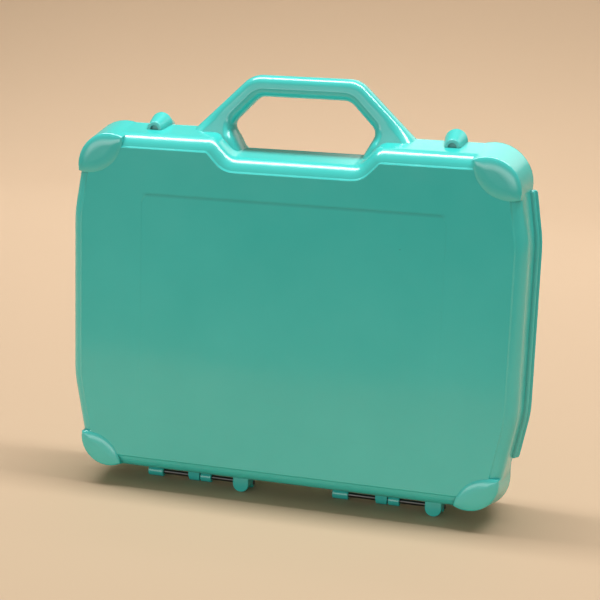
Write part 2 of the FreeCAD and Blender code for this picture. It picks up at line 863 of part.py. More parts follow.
def make_cover(name):
    """The bin's sliding cover with three finger ridges."""
    body = new_body(name)
    sketch = new_sketch(body, name + "_outline", "plate_depth - cover_seat")
    half = "(bin_half + cover_lap)"
    add_box(sketch, f"-bin_place - {half}", COVER_LOW, f"-bin_place + {half}", COVER_HIGH)
    pad(body, sketch, name + "_plate", "cover_thick", True)
    ridge = new_sketch(body, name + "_ridge_outline", "plate_depth - cover_seat - cover_thick")
    low = f"{COVER_HIGH} - {RIDGE_COUNT + 2} * ridge_step"
    add_box(ridge, "-bin_place - ridge_half", low, "-bin_place + ridge_half", f"{low} + ridge_thick")
    first = pad(body, ridge, name + "_ridge", "ridge_rise", True)
    ridges = body.newObject("PartDesign::LinearPattern", name + "_ridges")
    ridges.Originals = [first]
    ridges.Direction = (ridge, ["V_Axis"])
    ridges.Occurrences = RIDGE_COUNT
    bind(ridges, "Length", f"{RIDGE_COUNT - 1} * ridge_step")
    body.Tip = ridges
    return body


def screw_model(name):
    """One pan-head screw, its head resting at y = 0 and its shank running towards the front."""
    body = new_body(name)
    head = new_sketch(body, name + "_head_outline")
    add_regular(head, "0", "0", "screw_head_across", SCREW_SIDES)
    pad(body, head, name + "_head", "screw_head_high", True)
    shank = new_sketch(body, name + "_shank_outline")
    add_regular(shank, "0", "0", "screw_across", SCREW_SIDES)
    pad(body, shank, name + "_shank", "screw_length")
    return body


def peg_model(name):
    """One six-sided peg, its head resting at y = 0 and its shaft running towards the front."""
    body = new_body(name)
    head = new_sketch(body, name + "_head_outline")
    add_regular(head, "0", "0", "peg_head_across", PEG_SIDES)
    pad(body, head, name + "_head", "peg_head", True)
    shaft = new_sketch(body, name + "_shaft_outline")
    add_regular(shaft, "0", "0", "peg_across", PEG_SIDES)
    pad(body, shaft, name + "_shaft", "peg_shaft")
    return body


def group_of(name, model, places, turn=Rotation()):
    """Copies of one model at several placements, as separate solids of one piece."""
    half = Placement(Vector(), turn)
    solids = []
    for place in places:
        solid = model.Shape.copy()
        solid.Placement = half.multiply(place)
        solids.append(solid)
    item = doc.addObject("Part::Feature", name)
    item.Shape = Part.makeCompound(solids)
    return item


def on_plate(x, z):
    """The placement of something that stands on the play face of the front grid plate."""
    return Placement(Vector(number(x), -number("plate_depth"), number(z)), Rotation())


def hole_place(column, row):
    return on_plate(f"hole_start + {column} * hole_pitch", f"hole_low + {row} * hole_pitch")


def bin_places():
    """Spare pegs lying in a row on the bin's lower wall, heads all one way."""
    lying = Rotation(Vector(0, 0, 1), -90)
    places = []
    for index in range(SPARE_PEGS):
        step = index - (SPARE_PEGS - 1) / 2
        x = f"-bin_place + ({step}) * (peg_head + peg_shaft + peg_row_gap) + (peg_head - peg_shaft) / 2"
        y = f"-({BIN_FLOOR}) + bin_wall + 1.5 * peg_space + peg_head_across / 2"
        z = f"bin_low + peg_space + peg_head_across / 2 / cos({180 / PEG_SIDES})"
        places.append(Placement(Vector(number(x), number(y), number(z)), lying))
    return places


def deck_box(body, name, low, left, right, half, rise):
    """A box on a ship, between two places along it, standing on a level above the grid."""
    sketch = new_sketch(body, name + "_outline", low)
    add_box(sketch, left, f"-({half})", right, half)
    pad(body, sketch, name + "_pad", rise)


def gun_turret(body, name, place, aim):
    """A round turret with one barrel that points along the ship."""
    sketch = new_sketch(body, name + "_outline", "ship_hull")
    add_regular(sketch, place, "0", "2 * turret_radius", TURRET_SIDES)
    pad(body, sketch, name + "_pad", "turret_high")
    barrel = new_sketch(body, name + "_barrel_outline", "ship_hull + turret_high / 3")
    tip = f"{place} + ({aim}) * barrel_reach"
    ends = (place, tip) if aim > 0 else (tip, place)
    add_box(barrel, ends[0], "-barrel_width / 2", ends[1], "barrel_width / 2")
    pad(body, barrel, name + "_barrel_pad", "barrel_width")


def make_ship(name, length, deck, column, row, upright):
    """A ship that covers a number of holes, plugged into the ocean grid from a column and a row."""
    body = new_body(name)
    bow = f"(({length} - 0.5) * hole_pitch - ship_end)"
    stern = "(-hole_pitch / 2 + ship_end)"
    hull = new_sketch(body, name + "_hull_outline")
    add_polygon(hull, [
        (stern, "-stern_half"),
        (f"{stern} + ship_end", "-ship_half"),
        (f"{bow} - bow_taper", "-ship_half"),
        (f"{bow} - bow_run", "-bow_half"),
        (bow, "0"),
        (f"{bow} - bow_run", "bow_half"),
        (f"{bow} - bow_taper", "ship_half"),
        (f"{stern} + ship_end", "ship_half"),
        (stern, "stern_half"),
    ])
    pad(body, hull, name + "_hull", "ship_hull")
    deck(body, name, length)
    plug = new_sketch(body, name + "_plugs")
    for hole in (0, length - 1):
        add_regular(plug, f"{hole} * hole_pitch", "0", "peg_across", PEG_SIDES)
    pad(body, plug, name + "_plug_pads", "ship_plug", True)
    top = new_sketch(body, name + "_peg_holes", "ship_hull + house_high")
    for hole in range(length):
        add_regular(top, f"{hole} * hole_pitch", "0", "hole_across", HOLE_SIDES)
    pocket(body, top, name + "_peg_sockets", "ship_hull + house_high - socket_floor")
    heading = Rotation(Vector(0, 1, 0), -90) if upright else Rotation()
    body.Placement = Placement(Vector(), heading)
    bind(body, "Placement.Base.x", f"-hole_start - {GRID_COUNT - 1 - column} * hole_pitch")
    bind(body, "Placement.Base.y", "plate_depth")
    bind(body, "Placement.Base.z", f"hole_low + {row} * hole_pitch")
    return body


def carrier_deck(body, name, length):
    """A flat flight deck with an island on one edge."""
    deck_box(body, name + "_flight_deck", "ship_hull", "-hole_pitch / 4",
             f"({length} - 1) * hole_pitch - ship_end", "flight_deck_half", "flight_deck_thick")
    island = new_sketch(body, name + "_island", "ship_hull + flight_deck_thick")
    add_box(island, "island_start", "island_near", "island_end", "island_far")
    pad(body, island, name + "_island_pad", "house_high")


def gunship_deck(body, name, length):
    """A stepped deckhouse between two holes, a turret ahead of it and, on a long ship, one astern."""
    gap = length - 3
    middle = f"({gap} + 0.5) * hole_pitch"
    deck_box(body, name + "_deckhouse", "ship_hull", f"{middle} - house_length / 2",
             f"{middle} + house_length / 2", "house_half", "house_high")
    deck_box(body, name + "_bridge", "ship_hull + house_high", f"{middle} - bridge_length / 2",
             f"{middle} + bridge_length / 2", "bridge_half", "bridge_high")
    gun_turret(body, name + "_fore_turret", f"({gap} + 1.5) * hole_pitch", 1)
    if gap > 0:
        gun_turret(body, name + "_aft_turret", f"({gap} - 0.5) * hole_pitch", -1)


def patrol_deck(body, name, length):
    """A small wheelhouse between the two holes, with a step in front of it."""
    deck_box(body, name + "_wheelhouse", "ship_hull", "wheelhouse_start", "wheelhouse_end",
             "house_half", "house_high + bridge_high")
    deck_box(body, name + "_step", "ship_hull", "wheelhouse_end", "wheelhouse_step",
             "bridge_half", "casing_high")


def submarine_deck(body, name, length):
    """A long casing with a tall narrow sail."""
    deck_box(body, name + "_casing", "ship_hull", "-hole_pitch / 4", f"({length} - 1) * hole_pitch",
             "casing_half", "casing_high")
    deck_box(body, name + "_sail", "ship_hull + casing_high", "sail_start", "sail_end",
             "sail_half", "sail_high")


# Every ship: holes covered, deck, column and row of its stern hole, and whether it runs upwards
SHIPS = {
    "ship_of_five": (5, carrier_deck, 1, 8, False),
    "ship_of_four": (4, gunship_deck, 7, 1, True),
    "ship_of_three": (3, gunship_deck, 2, 5, False),
    "submarine": (3, submarine_deck, 1, 1, True),
    "patrol_boat": (2, patrol_deck, 4, 2, False),
}
HITS = [(2, 3), (3, 3), (4, 3), (7, 6), (7, 7)]
MISSES = [(1, 1), (2, 7), (4, 8), (5, 1), (6, 3), (7, 4), (8, 2), (9, 6)]

front_shell = make_shell("front_shell")
target_grid = make_grid("target_grid")
front_cover = make_cover("front_bin_cover")
nodes = [
    front_shell,
    turned(front_shell, "rear_shell"),
    target_grid,
    turned(target_grid, "ocean_grid"),
    front_cover,
    turned(front_cover, "rear_bin_cover"),
    make_pin("hinge_pin_left", -1),
    make_pin("hinge_pin_right", 1),
]
for ship, plan in SHIPS.items():
    nodes.append(make_ship(ship, *plan))
screw = screw_model("screw_model")
peg = peg_model("peg_model")
doc.recompute()

screw_places = [on_plate(x, z) for x, z in SCREW_PLACES]
nodes += [
    group_of("rear_grid_screws", screw, screw_places, HALF_TURN),
    group_of("front_grid_screws", screw, screw_places),
    group_of("hit_pegs", peg, [hole_place(*hole) for hole in HITS]),
    group_of("miss_pegs", peg, [hole_place(*hole) for hole in MISSES]),
    group_of("spare_hit_pegs", peg, bin_places(), HALF_TURN),
    group_of("spare_miss_pegs", peg, bin_places()),
]
doc.recompute()

for item in doc.Objects:
    if "Invalid" in item.State or "Error" in item.State:
        raise RuntimeError(f"{item.Name} failed: {item.State}")
for node in nodes:
    if node.Shape.isNull() or not node.Shape.isValid():
        raise RuntimeError(f"{node.Name} has no valid shape")

os.makedirs("parts", exist_ok=True)
for node in nodes:
    node.Shape.exportStep(f"parts/{node.Label}.step")
    box = node.Shape.BoundBox
    print(f"{node.Label}: {len(node.Shape.Solids)} solids, {node.Shape.Volume:.0f} mm3, "
          f"{box.XLength:.1f} x {box.YLength:.1f} x {box.ZLength:.1f} mm")
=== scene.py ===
import math
from collections import namedtuple

import bmesh
import bpy
from bpy.props import FloatProperty, FloatVectorProperty, PointerProperty
from mathutils import Matrix, Vector


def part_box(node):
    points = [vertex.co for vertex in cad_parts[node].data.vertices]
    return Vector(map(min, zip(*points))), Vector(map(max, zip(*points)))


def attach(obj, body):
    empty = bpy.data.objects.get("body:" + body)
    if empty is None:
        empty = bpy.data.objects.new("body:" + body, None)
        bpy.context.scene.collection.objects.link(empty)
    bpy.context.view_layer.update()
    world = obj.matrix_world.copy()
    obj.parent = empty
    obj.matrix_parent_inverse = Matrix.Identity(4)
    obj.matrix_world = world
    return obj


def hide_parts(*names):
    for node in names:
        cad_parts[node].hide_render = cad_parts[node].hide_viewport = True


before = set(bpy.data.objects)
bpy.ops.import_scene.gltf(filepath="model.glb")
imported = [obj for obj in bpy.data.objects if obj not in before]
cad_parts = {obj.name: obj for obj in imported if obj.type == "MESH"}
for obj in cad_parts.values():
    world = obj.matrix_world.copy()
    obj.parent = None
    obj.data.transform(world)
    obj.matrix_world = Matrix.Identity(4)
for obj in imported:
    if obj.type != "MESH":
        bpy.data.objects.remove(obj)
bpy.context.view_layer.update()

bl_info = {
    "name": "Fleet Game Case",
    "version": (1, 0, 0),
    "blender": (4, 5, 0),
    "location": "View3D > Sidebar > Fleet Case",
    "description": "Models a hinged carry case with its peg grids, ships and pegs",
    "category": "Add Mesh",
}

MM = 0.001
QUARTER = math.pi / 2
HALF_TURN = Matrix.Rotation(math.pi, 4, "Z")
MIRROR = Matrix.Scale(-1, 4, (1, 0, 0))

# Smallest radius, distance within which vertices merge, and longest side of a face that is dropped
LEAST_ROUND = 0.02 * MM
MERGE = 0.008 * MM
SLIVER = 0.004 * MM

# Number of holes along a grid, and of finger ridges on a cover
GRID_COUNT = 10
RIDGE_COUNT = 3

# Sides of the round forms
HUMP_SIDES = 36
SCREW_SIDES = 24
TURRET_SIDES = 24
TUNNEL_SIDES = 24
COLUMN_SIDES = 20
PEG_SIDES = 20
HOLE_SIDES = 16
GUN_SIDES = 12

# Steps round the rolled edges of a half
RIM_STEPS = 10
GUARD_STEPS = 9
GUARD_ARC_STEPS = 12
HANDLE_STEPS = 9
LIP_STEPS = 5

# Shares of the panel's sloping edge, and the share of slope and depth where the recess's edge bends
PANEL_SHARES = (0.15, 0.5, 0.85, 1.0)
RECESS_BEND = (0.6, 0.85)

# Guards draw in faster along their length, and the handle's feet spread in depth
GUARD_PULL = 1.2
HANDLE_RUN = 8
HANDLE_SPREAD = 0.8

# Softened edges of the catches, their tongues and the hinges
HUMP_EDGE = 0.2 * MM
HUMP_CURVE = 0.15 * MM
HUMP_SOFT = 0.5 * MM
TONGUE_LIFT = 0.7 * MM
TONGUE_SOFT = 0.3 * MM
TONGUE_TAPER = 0.6 * MM
TONGUE_ROOT_HALF = 3 * MM
TONGUE_ROOT_RISE = 1.3 * MM
TONGUE_ROOT_BACK = 1 * MM
TONGUE_ROOT_FRONT = 4.5 * MM
BARREL_SOFT = 0.3 * MM
LUG_ROUND = 0.98
LUG_CURVE = 0.23 * MM
LUG_SOFT = 0.8 * MM
PIN_SOFT = 0.4 * MM

# Cover stops keep clear of the planes of the rails' ends; finger ridges are round along their edges
STOP_CLEAR = 0.8
RIDGE_ROUND = 0.45

# Radius and rise of a screw's head, as shares of its own, and the tip and cross recess
HEAD_PROFILE = ((0.95, 0.0), (1.0, 0.12), (0.97, 0.45), (0.85, 0.75), (0.6, 0.94), (0.25, 1.0))
SCREW_TIP = 0.4
SCREW_RECESS_ROUND = 0.1 * MM
SCREW_RECESS_OVER = 1.2

# Radius and run of a peg's shaft and head, as shares of their own
PEG_SHAFT_PROFILE = ((0.45, 1.0), (0.8, 0.97), (0.95, 0.88), (1.0, 0.7), (1.0, 0.0))
PEG_HEAD_PROFILE = ((0.9, 0.0), (1.0, 0.06), (1.0, 0.78), (0.94, 0.9), (0.78, 0.97), (0.4, 1.0))

# Height and inset of a hull, as shares of its height and flare, and the edges of what stands on it
HULL_PROFILE = ((0, 1), (0.35, 0.35), (0.7, 0), (0.92, 0), (1, 0.25))
DECK_SOFT = 0.12
FLIGHT_DECK_ROUND = 0.3
FLIGHT_DECK_SOFT = 0.2
PLUG_SOFT = 0.2
GUN_SOFT = 0.1 * MM
STEP_LAP = 0.5 * MM

# Painted shade lies just under the recess's upper edge and in creases
LABEL_SHADE_DROP = 0.4 * MM
LABEL_SHADE_NEAR = 0.2 * MM
LABEL_SHADE_FAR = 1.3 * MM
LABEL_SHADE_SHARE = 0.2
LABEL_SHADE_FADE = 3 * MM
CREASE_REACH = 3 * MM
CREASE_SHADE_SHARE = 0.5

# Depths about the face panel between which its finish changes
FACE_BEHIND = 0.6 * MM
FACE_EDGE = 0.4 * MM
FACE_BEFORE = 0.1 * MM

# The paper: its front edge, the ends of its sweep, and its bend up to the back
PAPER_EDGE = -0.30
PAPER_SOFT = 0.04
PAPER_FRONT = -3.0
PAPER_BEND = 1.1
PAPER_BEND_ROUND = 0.7
PAPER_BEND_STEPS = 12
PAPER_TOP = 2.6
PAPER_HALF = 4
PAPER_THICK = 0.01
PAPER_SMOOTH = 25

# Light of the room and of the lamps
ROOM_LIGHT = (0.34, 0.31, 0.255)
LAMP_WHITE = (1.0, 0.985, 0.96)
CARD_WARM = (1.0, 0.93, 0.86)

SENSOR_WIDTH = 36
CLIP_START = 10 * MM

Corner = namedtuple("Corner", "at round steps run", defaults=(LEAST_ROUND, 1, 0))
Lamp = namedtuple("Lamp", "name place aim size power tint spread diffuse", defaults=(180, True))

LAMPS = (
    Lamp("key_lamp", (0.0, 0.04, 1.3), (0, 0.04, 0), (1.8, 0.2), 22.5, LAMP_WHITE),
    Lamp("front_lamp", (-0.3, -2.2, 0.42), (0, 0, 0.12), (3.2, 0.6), 12.4, LAMP_WHITE),
    Lamp("back_lamp", (-0.35, 1.0, 1.6), (-0.35, 1.1, 0), (2.2, 0.9), 6.8, LAMP_WHITE, 70),
    Lamp("back_card", (0.3, 1.1, 0.85), (0, 0, 0.19), (1.3, 0.7), 3.6, CARD_WARM, diffuse=False),
)


# Settings

def length(name, description, millimetres):
    """A size that is written in millimetres and kept in metres."""
    return FloatProperty(name=name, description=description, default=millimetres * MM,
                         unit="LENGTH", precision=5)


def heading(name, description, degrees):
    """An angle that is written in degrees and kept in radians."""
    return FloatProperty(name=name, description=description, default=math.radians(degrees), subtype="ANGLE")


def colour(name, description, rgb):
    return FloatVectorProperty(name=name, description=description, default=rgb, size=3,
                               subtype="COLOR", min=0, max=1)


class ShellSizes(bpy.types.PropertyGroup):
    """Outline, walls, rim and face of one moulded half."""

    depth: length("Depth", "From the meeting plane to the rim's front", 22.4)
    wall: length("Wall", "Thickness of the moulding", 2.0)
    half_width: length("Half width", "Between the two kinks, at the meeting plane", 117.4)
    top: length("Top", "Height of the top wall", 188.1)
    bottom: length("Bottom", "Height of the bottom wall", 6.5)
    kink_high: length("Upper kink", "Height where the sides start to lean in", 142.5)
    kink_low: length("Lower kink", "Height below which the sides lean in", 56.9)
    top_corner: length("Top corner", "Half width at the top wall", 110.0)
    low_corner: length("Low corner", "Half width at the bottom wall", 108.1)
    dip_floor: length("Dip", "Height of the dip under the handle", 178.8)
    dip_half: length("Dip half width", "Half width of the dip's floor", 32.5)
    dip_run: length("Dip slope", "Sideways run of the dip's slopes", 9.0)
    side_draft: length("Side draft", "How far the sides lean in over the depth", 1.7)
    top_draft: length("Top draft", "How far the top leans in over the depth", 5.0)
    bottom_draft: length("Bottom draft", "How far the bottom leans in over the depth", 4.8)
    dip_draft: length("Dip draft", "How far the dip's floor leans in over the depth", 4.8)
    corner_round: length("Corner round", "Radius of the four corners", 18.0)
    kink_round: length("Kink round", "Radius of the kinks in the sides", 60.0)
    shoulder_round: length("Shoulder round", "Radius at the top of the dip's slopes", 8.0)
    dip_round: length("Dip round", "Radius at the foot of the dip's slopes", 7.0)
    rim_round: length("Rim round", "Radius of the rolled rim", 7.0)
    rim_bevel: length("Inner bevel", "Bevel round the floor of the hollow", 3.2)
    edge_break: length("Edge break", "Small bevel along the meeting plane", 0.3)
    panel_inset: length("Panel inset", "From the outline to the raised face panel", 4.9)
    panel_slope: length("Panel edge", "Width of the panel's sloping edge", 0.9)
    panel_rise: length("Panel rise", "How far the panel stands in front of the rim", 0.5)
    label_half: length("Recess half width", "Half width of the shallow recess", 77.4)
    label_low: length("Recess foot", "Lower edge of the recess", 38.2)
    label_high: length("Recess top", "Upper edge of the recess", 155.0)
    label_depth: length("Recess depth", "Depth of the recess along its upper edge", 0.24)
    label_round: length("Recess round", "Corner radius of the recess", 5.0)
    label_slope: length("Recess edge", "Width of the recess's sloping edge", 0.15)


class FittingSizes(bpy.types.PropertyGroup):
    """What is moulded on to each half: guards, handle, lips, catches and hinge."""

    guard_tip: length("Guard tip", "Where a guard ends on the top or bottom wall", 88.0)
    guard_high: length("Upper guard foot", "Where an upper guard ends on the side", 164.4)
    guard_low: length("Lower guard head", "Where a lower guard ends on the side", 27.5)
    guard_sink: length("Guard sink", "How far a guard's tips lie in the walls", 0.6)
    guard_inner: length("Guard inner bulge", "Bulge of a guard towards the face", 7.8)
    guard_inner_low: length("Lower guard inner bulge", "Bulge of a lower guard towards the face", 6.2)
    guard_face: length("Guard outer bulge", "Bulge outwards at the face", 9.1)
    guard_face_low: length("Lower guard outer bulge", "Bulge of a lower guard outwards at the face", 8.3)
    guard_back: length("Guard back bulge", "Bulge outwards at the meeting plane", 10.8)
    guard_rise: length("Guard rise", "How far a guard stands in front of the panel", 1.5)
    guard_roll: length("Guard roll", "Width of the rounding round a guard", 6.6)
    guard_dome: length("Guard dome", "Height of the rounding round a guard", 2.1)
    edge: length("Edge", "Softening along the meeting plane", 0.2)
    handle_top: length("Handle top", "Height of the handle", 215.2)
    handle_half: length("Handle half width", "Where the handle's top bends down", 27.3)
    handle_foot: length("Handle foot", "Half width over the handle's feet", 60.2)
    handle_root: length("Handle root", "Height of the handle's feet", 184.0)
    handle_bend: length("Handle bend", "Outer radius of the handle's bends", 13.0)
    handle_depth: length("Handle depth", "Half of the handle's thickness", 5.6)
    handle_roll: length("Handle roll", "Width of the handle's rounded edges", 4.7)
    handle_dome: length("Handle dome", "Depth of the handle's rounded edges", 5.0)
    handle_sink: length("Handle sink", "How far the feet run down in the walls", 7.0)
    handle_flare: length("Handle flare", "Height over which the feet spread", 11.0)
    grip_under: length("Grip top", "Height of the grip opening", 204.6)
    grip_half: length("Grip half width", "Half width at the top of the opening", 23.0)
    grip_wide: length("Grip widest", "Half width at the widest place", 37.2)
    grip_wide_height: length("Grip widest height", "Height of the widest place", 190.2)
    grip_foot: length("Grip foot", "Half width at the opening's foot", 29.4)
    grip_foot_height: length("Grip foot height", "Height of the opening's foot", 176.0)
    grip_bend: length("Grip bend", "Radius of the opening's upper corners", 7.0)
    grip_side: length("Grip side", "Radius at the opening's widest place", 5.0)
    lip_reach: length("Lip reach", "How far the left finger lip stands out", 3.0)
    lip_short: length("Short lip", "How far the right finger lip stands out", 1.9)
    lip_thick: length("Lip thickness", "Thickness of the finger lips", 2.6)
    lip_roll: length("Lip roll", "Radius of the lips' rounded front edge", 1.2)
    lip_end: length("Lip end", "Radius at the ends of the lips", 1.6)
    lip_root: length("Lip root", "How far the lips run in the walls", 3.0)
    lip_high: length("Lip top", "Upper end of the finger lips", 167.0)
    lip_low: length("Lip foot", "Lower end of the finger lips", 33.0)
    hump_place: length("Catch place", "Distance of the catches from the middle", 75.9)
    hump_length: length("Catch length", "Length of a catch hump", 10.5)
    hump_lift: length("Catch lift", "Height of a hump's axis over the top wall", 0.3)
    hump_round: length("Catch radius", "Radius of a hump at the meeting plane", 5.7)
    mouth_round: length("Catch mouth", "Radius of a hump at its mouth", 3.7)
    hump_wall: length("Catch wall", "Wall of a catch hump", 1.6)
    mouth_depth: length("Catch mouth depth", "Depth of the recess in a hump's end", 1.3)
    tongue_half: length("Tongue half width", "Half width of the snap tongue", 2.0)
    tongue_thick: length("Tongue thickness", "Thickness of the snap tongue", 1.1)
    tongue_reach: length("Tongue reach", "How far the tongue enters the other half", 4.0)
    lug_half: length("Lug half width", "Half width of the hinge lugs", 4.3)
    lug_length: length("Lug length", "Depth of the hinge lugs", 9.7)
    lug_root: length("Lug root", "Height up to which the lugs run in the wall", 13.0)
    lug_left: length("Left lug", "Place of the left lug of the front half", -25.9)
    lug_right: length("Right lug", "Place of the right lug of the front half", 75.9)
    knuckle_left: length("Left knuckle", "Place of the left narrow knuckle", -54.15)
    knuckle_right: length("Right knuckle", "Place of the right narrow knuckle", 47.65)
    knuckle_half: length("Knuckle half width", "Half width of the narrow knuckles", 3.05)
    knuckle_round: length("Knuckle radius", "Radius of the barrels round the pins", 2.75)
    bore_round: length("Bore radius", "Radius of the bore for the pins", 1.3)


class GridSizes(bpy.types.PropertyGroup):
    """The peg grid plates with their bins, rails and screws."""

    depth: length("Depth", "From the meeting plane to the play face", 9.0)
    thick: length("Thickness", "Thickness of the plate", 2.0)
    half: length("Half width", "Half width between the kinks", 113.6)
    low: length("Foot", "Height of the lower edge", 13.2)
    high: length("Top", "Height of the upper edge", 169.5)
    cut: length("Corner cut", "How much of each corner is cut away", 16.0)
    foot_cut: length("Foot cut", "Extra cut at the lower corners", 5.8)
    corner_round: length("Corner round", "Radius of the plate's corners", 3.0)
    edge: length("Edge", "Softening of the moulded edges", 0.3)
    pitch: length("Pitch", "Between two peg holes", 14.0)
    first_x: length("First column", "Place of the first column of holes", -31.0)
    first_z: length("First row", "Height of the first row of holes", 24.0)
    hole_round: length("Hole radius", "Radius of the peg holes", 1.6)
    hole_sink: length("Hole sink", "Bevel at the mouth of the peg holes", 0.45)
    bin_x: length("Bin place", "Middle of the peg bin", -76.0)
    bin_half: length("Bin half width", "Half width inside the bin", 24.0)
    bin_low: length("Bin foot", "Height of the bin's lower wall", 24.0)
    bin_high: length("Bin top", "Height of the bin's upper wall", 74.0)
    bin_wall: length("Bin wall", "Wall of the bin", 1.4)
    bin_under: length("Bin underside", "From the meeting plane to the bin's underside", 20.2)
    bin_round: length("Bin round", "Radius of the bin's corners", 2.5)
    rail_inside: length("Rail inside", "From the bin's middle to the rails", 27.3)
    rail_wall: length("Rail wall", "Wall of the rails and stops", 1.7)
    rail_lip: length("Rail lip", "How far the rails reach over the cover", 1.5)
    rail_lip_thick: length("Rail lip thickness", "Thickness of that lip", 1.2)
    rail_rise: length("Rail rise", "Room under the lip", 2.0)
    rail_low: length("Rail foot", "Lower end of the rails", 19.2)
    rail_high: length("Rail top", "Upper end of the rails", 127.0)
    boss_round: length("Boss radius", "Radius of the screw bosses", 3.4)
    screw_hole: length("Screw hole", "Radius of the screw holes", 1.5)


class LooseSizes(bpy.types.PropertyGroup):
    """Bin covers, screws and pegs."""

    cover_half: length("Cover half width", "Half width of a bin cover", 27.0)
    cover_low: length("Cover foot", "Lower edge of a closed cover", 21.0)
    cover_high: length("Cover top", "Upper edge of a closed cover", 77.0)
    cover_seat: length("Cover seat", "Gap between the plate and a cover", 0.1)
    cover_thick: length("Cover thickness", "Thickness of a cover", 1.6)
    cover_round: length("Cover round", "Radius of a cover's corners", 2.0)
    ridge_half: length("Ridge half width", "Half width of the finger ridges", 12.0)
    ridge_thick: length("Ridge thickness", "Thickness of a finger ridge", 1.4)
    ridge_rise: length("Ridge rise", "How far the ridges stand out", 0.9)
    ridge_step: length("Ridge step", "From ridge to ridge", 4.0)
    ridge_low: length("Lowest ridge", "Foot of the lowest ridge", 57.0)
    head_round: length("Screw head", "Radius of a screw head", 2.5)
    head_high: length("Screw head height", "Height of a screw head", 1.6)
    shank_round: length("Shank", "Radius of a screw's shank", 1.2)
    shank_length: length("Shank length", "Length of a screw's shank", 8.0)
    recess_half: length("Recess half width", "Half width of the cross recess", 1.5)
    recess_slot: length("Recess slot", "Half the width of a slot of the recess", 0.35)
    recess_deep: length("Recess depth", "Depth of the cross recess", 0.9)
    peg_head_round: length("Peg head", "Radius of a peg's head", 2.3)
    peg_head: length("Peg head height", "Height of a peg's head", 4.0)
    peg_round: length("Peg shaft", "Radius of a peg's shaft", 1.3)
    peg_shaft: length("Peg shaft length", "Length of a peg's shaft", 6.0)


class ShipSizes(bpy.types.PropertyGroup):
    """The ships that stand on the rear grid plate; places along a ship count from its stern hole."""

    half: length("Half beam", "Half the width of a hull", 4.5)
    hull: length("Hull", "Height of a hull", 3.4)
    flare: length("Flare", "How much narrower a hull is at its foot", 0.8)
    end: length("End", "From the cell's edge to the end of a hull", 2.2)
    stern_half: length("Stern half width", "Half width of the stern", 2.9)
    bow_half: length("Bow half width", "Half width where the bow ends", 2.7)
    bow_run: length("Bow run", "Length of the bow's tip", 4.5)
    bow_taper: length("Bow taper", "Length over which a hull narrows", 13.5)
    plug: length("Plug", "Length of the plugs under a hull", 1.8)
    socket_floor: length("Socket floor", "Height of the peg sockets' floor", 1.0)
    house_half: length("House half width", "Half width of a deckhouse", 3.1)
    house_length: length("House length", "Length of a deckhouse", 8.4)
    house_high: length("House height", "Height of a deckhouse", 1.8)
    bridge_half: length("Bridge half width", "Half width of a bridge", 2.3)
    bridge_length: length("Bridge length", "Length of a bridge", 4.8)
    bridge_high: length("Bridge height", "Height of a bridge", 1.5)
    turret_round: length("Turret", "Radius of a gun turret", 2.4)
    turret_high: length("Turret height", "Height of a gun turret", 1.5)
    barrel_round: length("Barrel", "Radius of a gun barrel", 0.4)
    barrel_reach: length("Barrel reach", "From a turret's middle to its muzzle", 5.0)
    deck_half: length("Flight deck half width", "Half width of the flight deck", 5.4)
    deck_thick: length("Flight deck", "Thickness of the flight deck", 0.75)
    island_start: length("Island start", "After end of the carrier's island", 30.8)
    island_end: length("Island end", "Fore end of the carrier's island", 39.2)
    island_near: length("Island near", "Inner side of the carrier's island", 2.5)
    island_far: length("Island far", "Outer side of the carrier's island", 5.0)
    wheelhouse_start: length("Wheelhouse start", "After end of the wheelhouse", 3.1)
    wheelhouse_end: length("Wheelhouse end", "Fore end of the wheelhouse", 9.5)
    wheelhouse_step: length("Wheelhouse step", "Fore end of the step before it", 11.5)
    casing_half: length("Casing half width", "Half width of the submarine's casing", 2.7)
    casing_high: length("Casing height", "Height of the submarine's casing", 0.9)
    sail_start: length("Sail start", "After end of the submarine's sail", 16.8)
    sail_end: length("Sail end", "Fore end of the submarine's sail", 24.5)
    sail_half: length("Sail half width", "Half width of the submarine's sail", 1.4)
    sail_high: length("Sail height", "Height of the submarine's sail", 2.5)


class CaseColours(bpy.types.PropertyGroup):
    """Colours of the mouldings and of the stage."""

    shell: colour("Shell", "Mint green of the two halves", (0.036, 0.61, 0.585))
    shell_pale: colour("Shell, pale", "Paler patches of the moulding", (0.048, 0.64, 0.615))
    # Dark colour of the dirt specks, and of the painted shade in creases and under the recess's upper edge
    speck_and_shade: colour("Speck", "Specks of dirt on the case", (0.02, 0.05, 0.04))
    grid: colour("Grid", "Blue of the grid plates", (0.025, 0.10, 0.33))
    grid_line: colour("Grid lines", "Paler lines between the cells", (0.20, 0.38, 0.62))
    cover: colour("Cover", "Pale grey of the bin covers", (0.52, 0.60, 0.62))
    ship: colour("Ship", "Grey of the ships", (0.13, 0.145, 0.16))
    hit: colour("Hit peg", "Red of the hit pegs", (0.55, 0.018, 0.012))
    miss: colour("Miss peg", "White of the miss pegs", (0.78, 0.78, 0.75))
    steel: colour("Steel", "Screws", (0.46, 0.46, 0.47))
    # Painted shade: the pins' steel is made this dark to stand for the deep shadow under the case
    wire: colour("Wire", "Darkened wire of the hinge pins", (0.14, 0.14, 0.145))
    backdrop: colour("Backdrop", "Seamless paper behind and under the case", (0.56, 0.42, 0.295))
    table: colour("Table", "Darker table in front of the paper", (0.20, 0.22, 0.23))


class StageSettings(bpy.types.PropertyGroup):
    """The camera."""

    camera_x: length("Camera right", "Place of the camera to the right", 194.2)
    camera_y: length("Camera back", "Place of the camera to the back", -694.4)
    camera_z: length("Camera height", "Height of the camera", 255.5)
    azimuth: heading("Azimuth", "Turn of the camera to the left", 15.596)
    elevation: heading("Elevation", "Tilt of the camera downwards", 11.947)
    roll: heading("Roll", "Turn of the picture", 1.905)
    lens: FloatProperty(name="Lens", description="Focal length in millimetres", default=87.0)


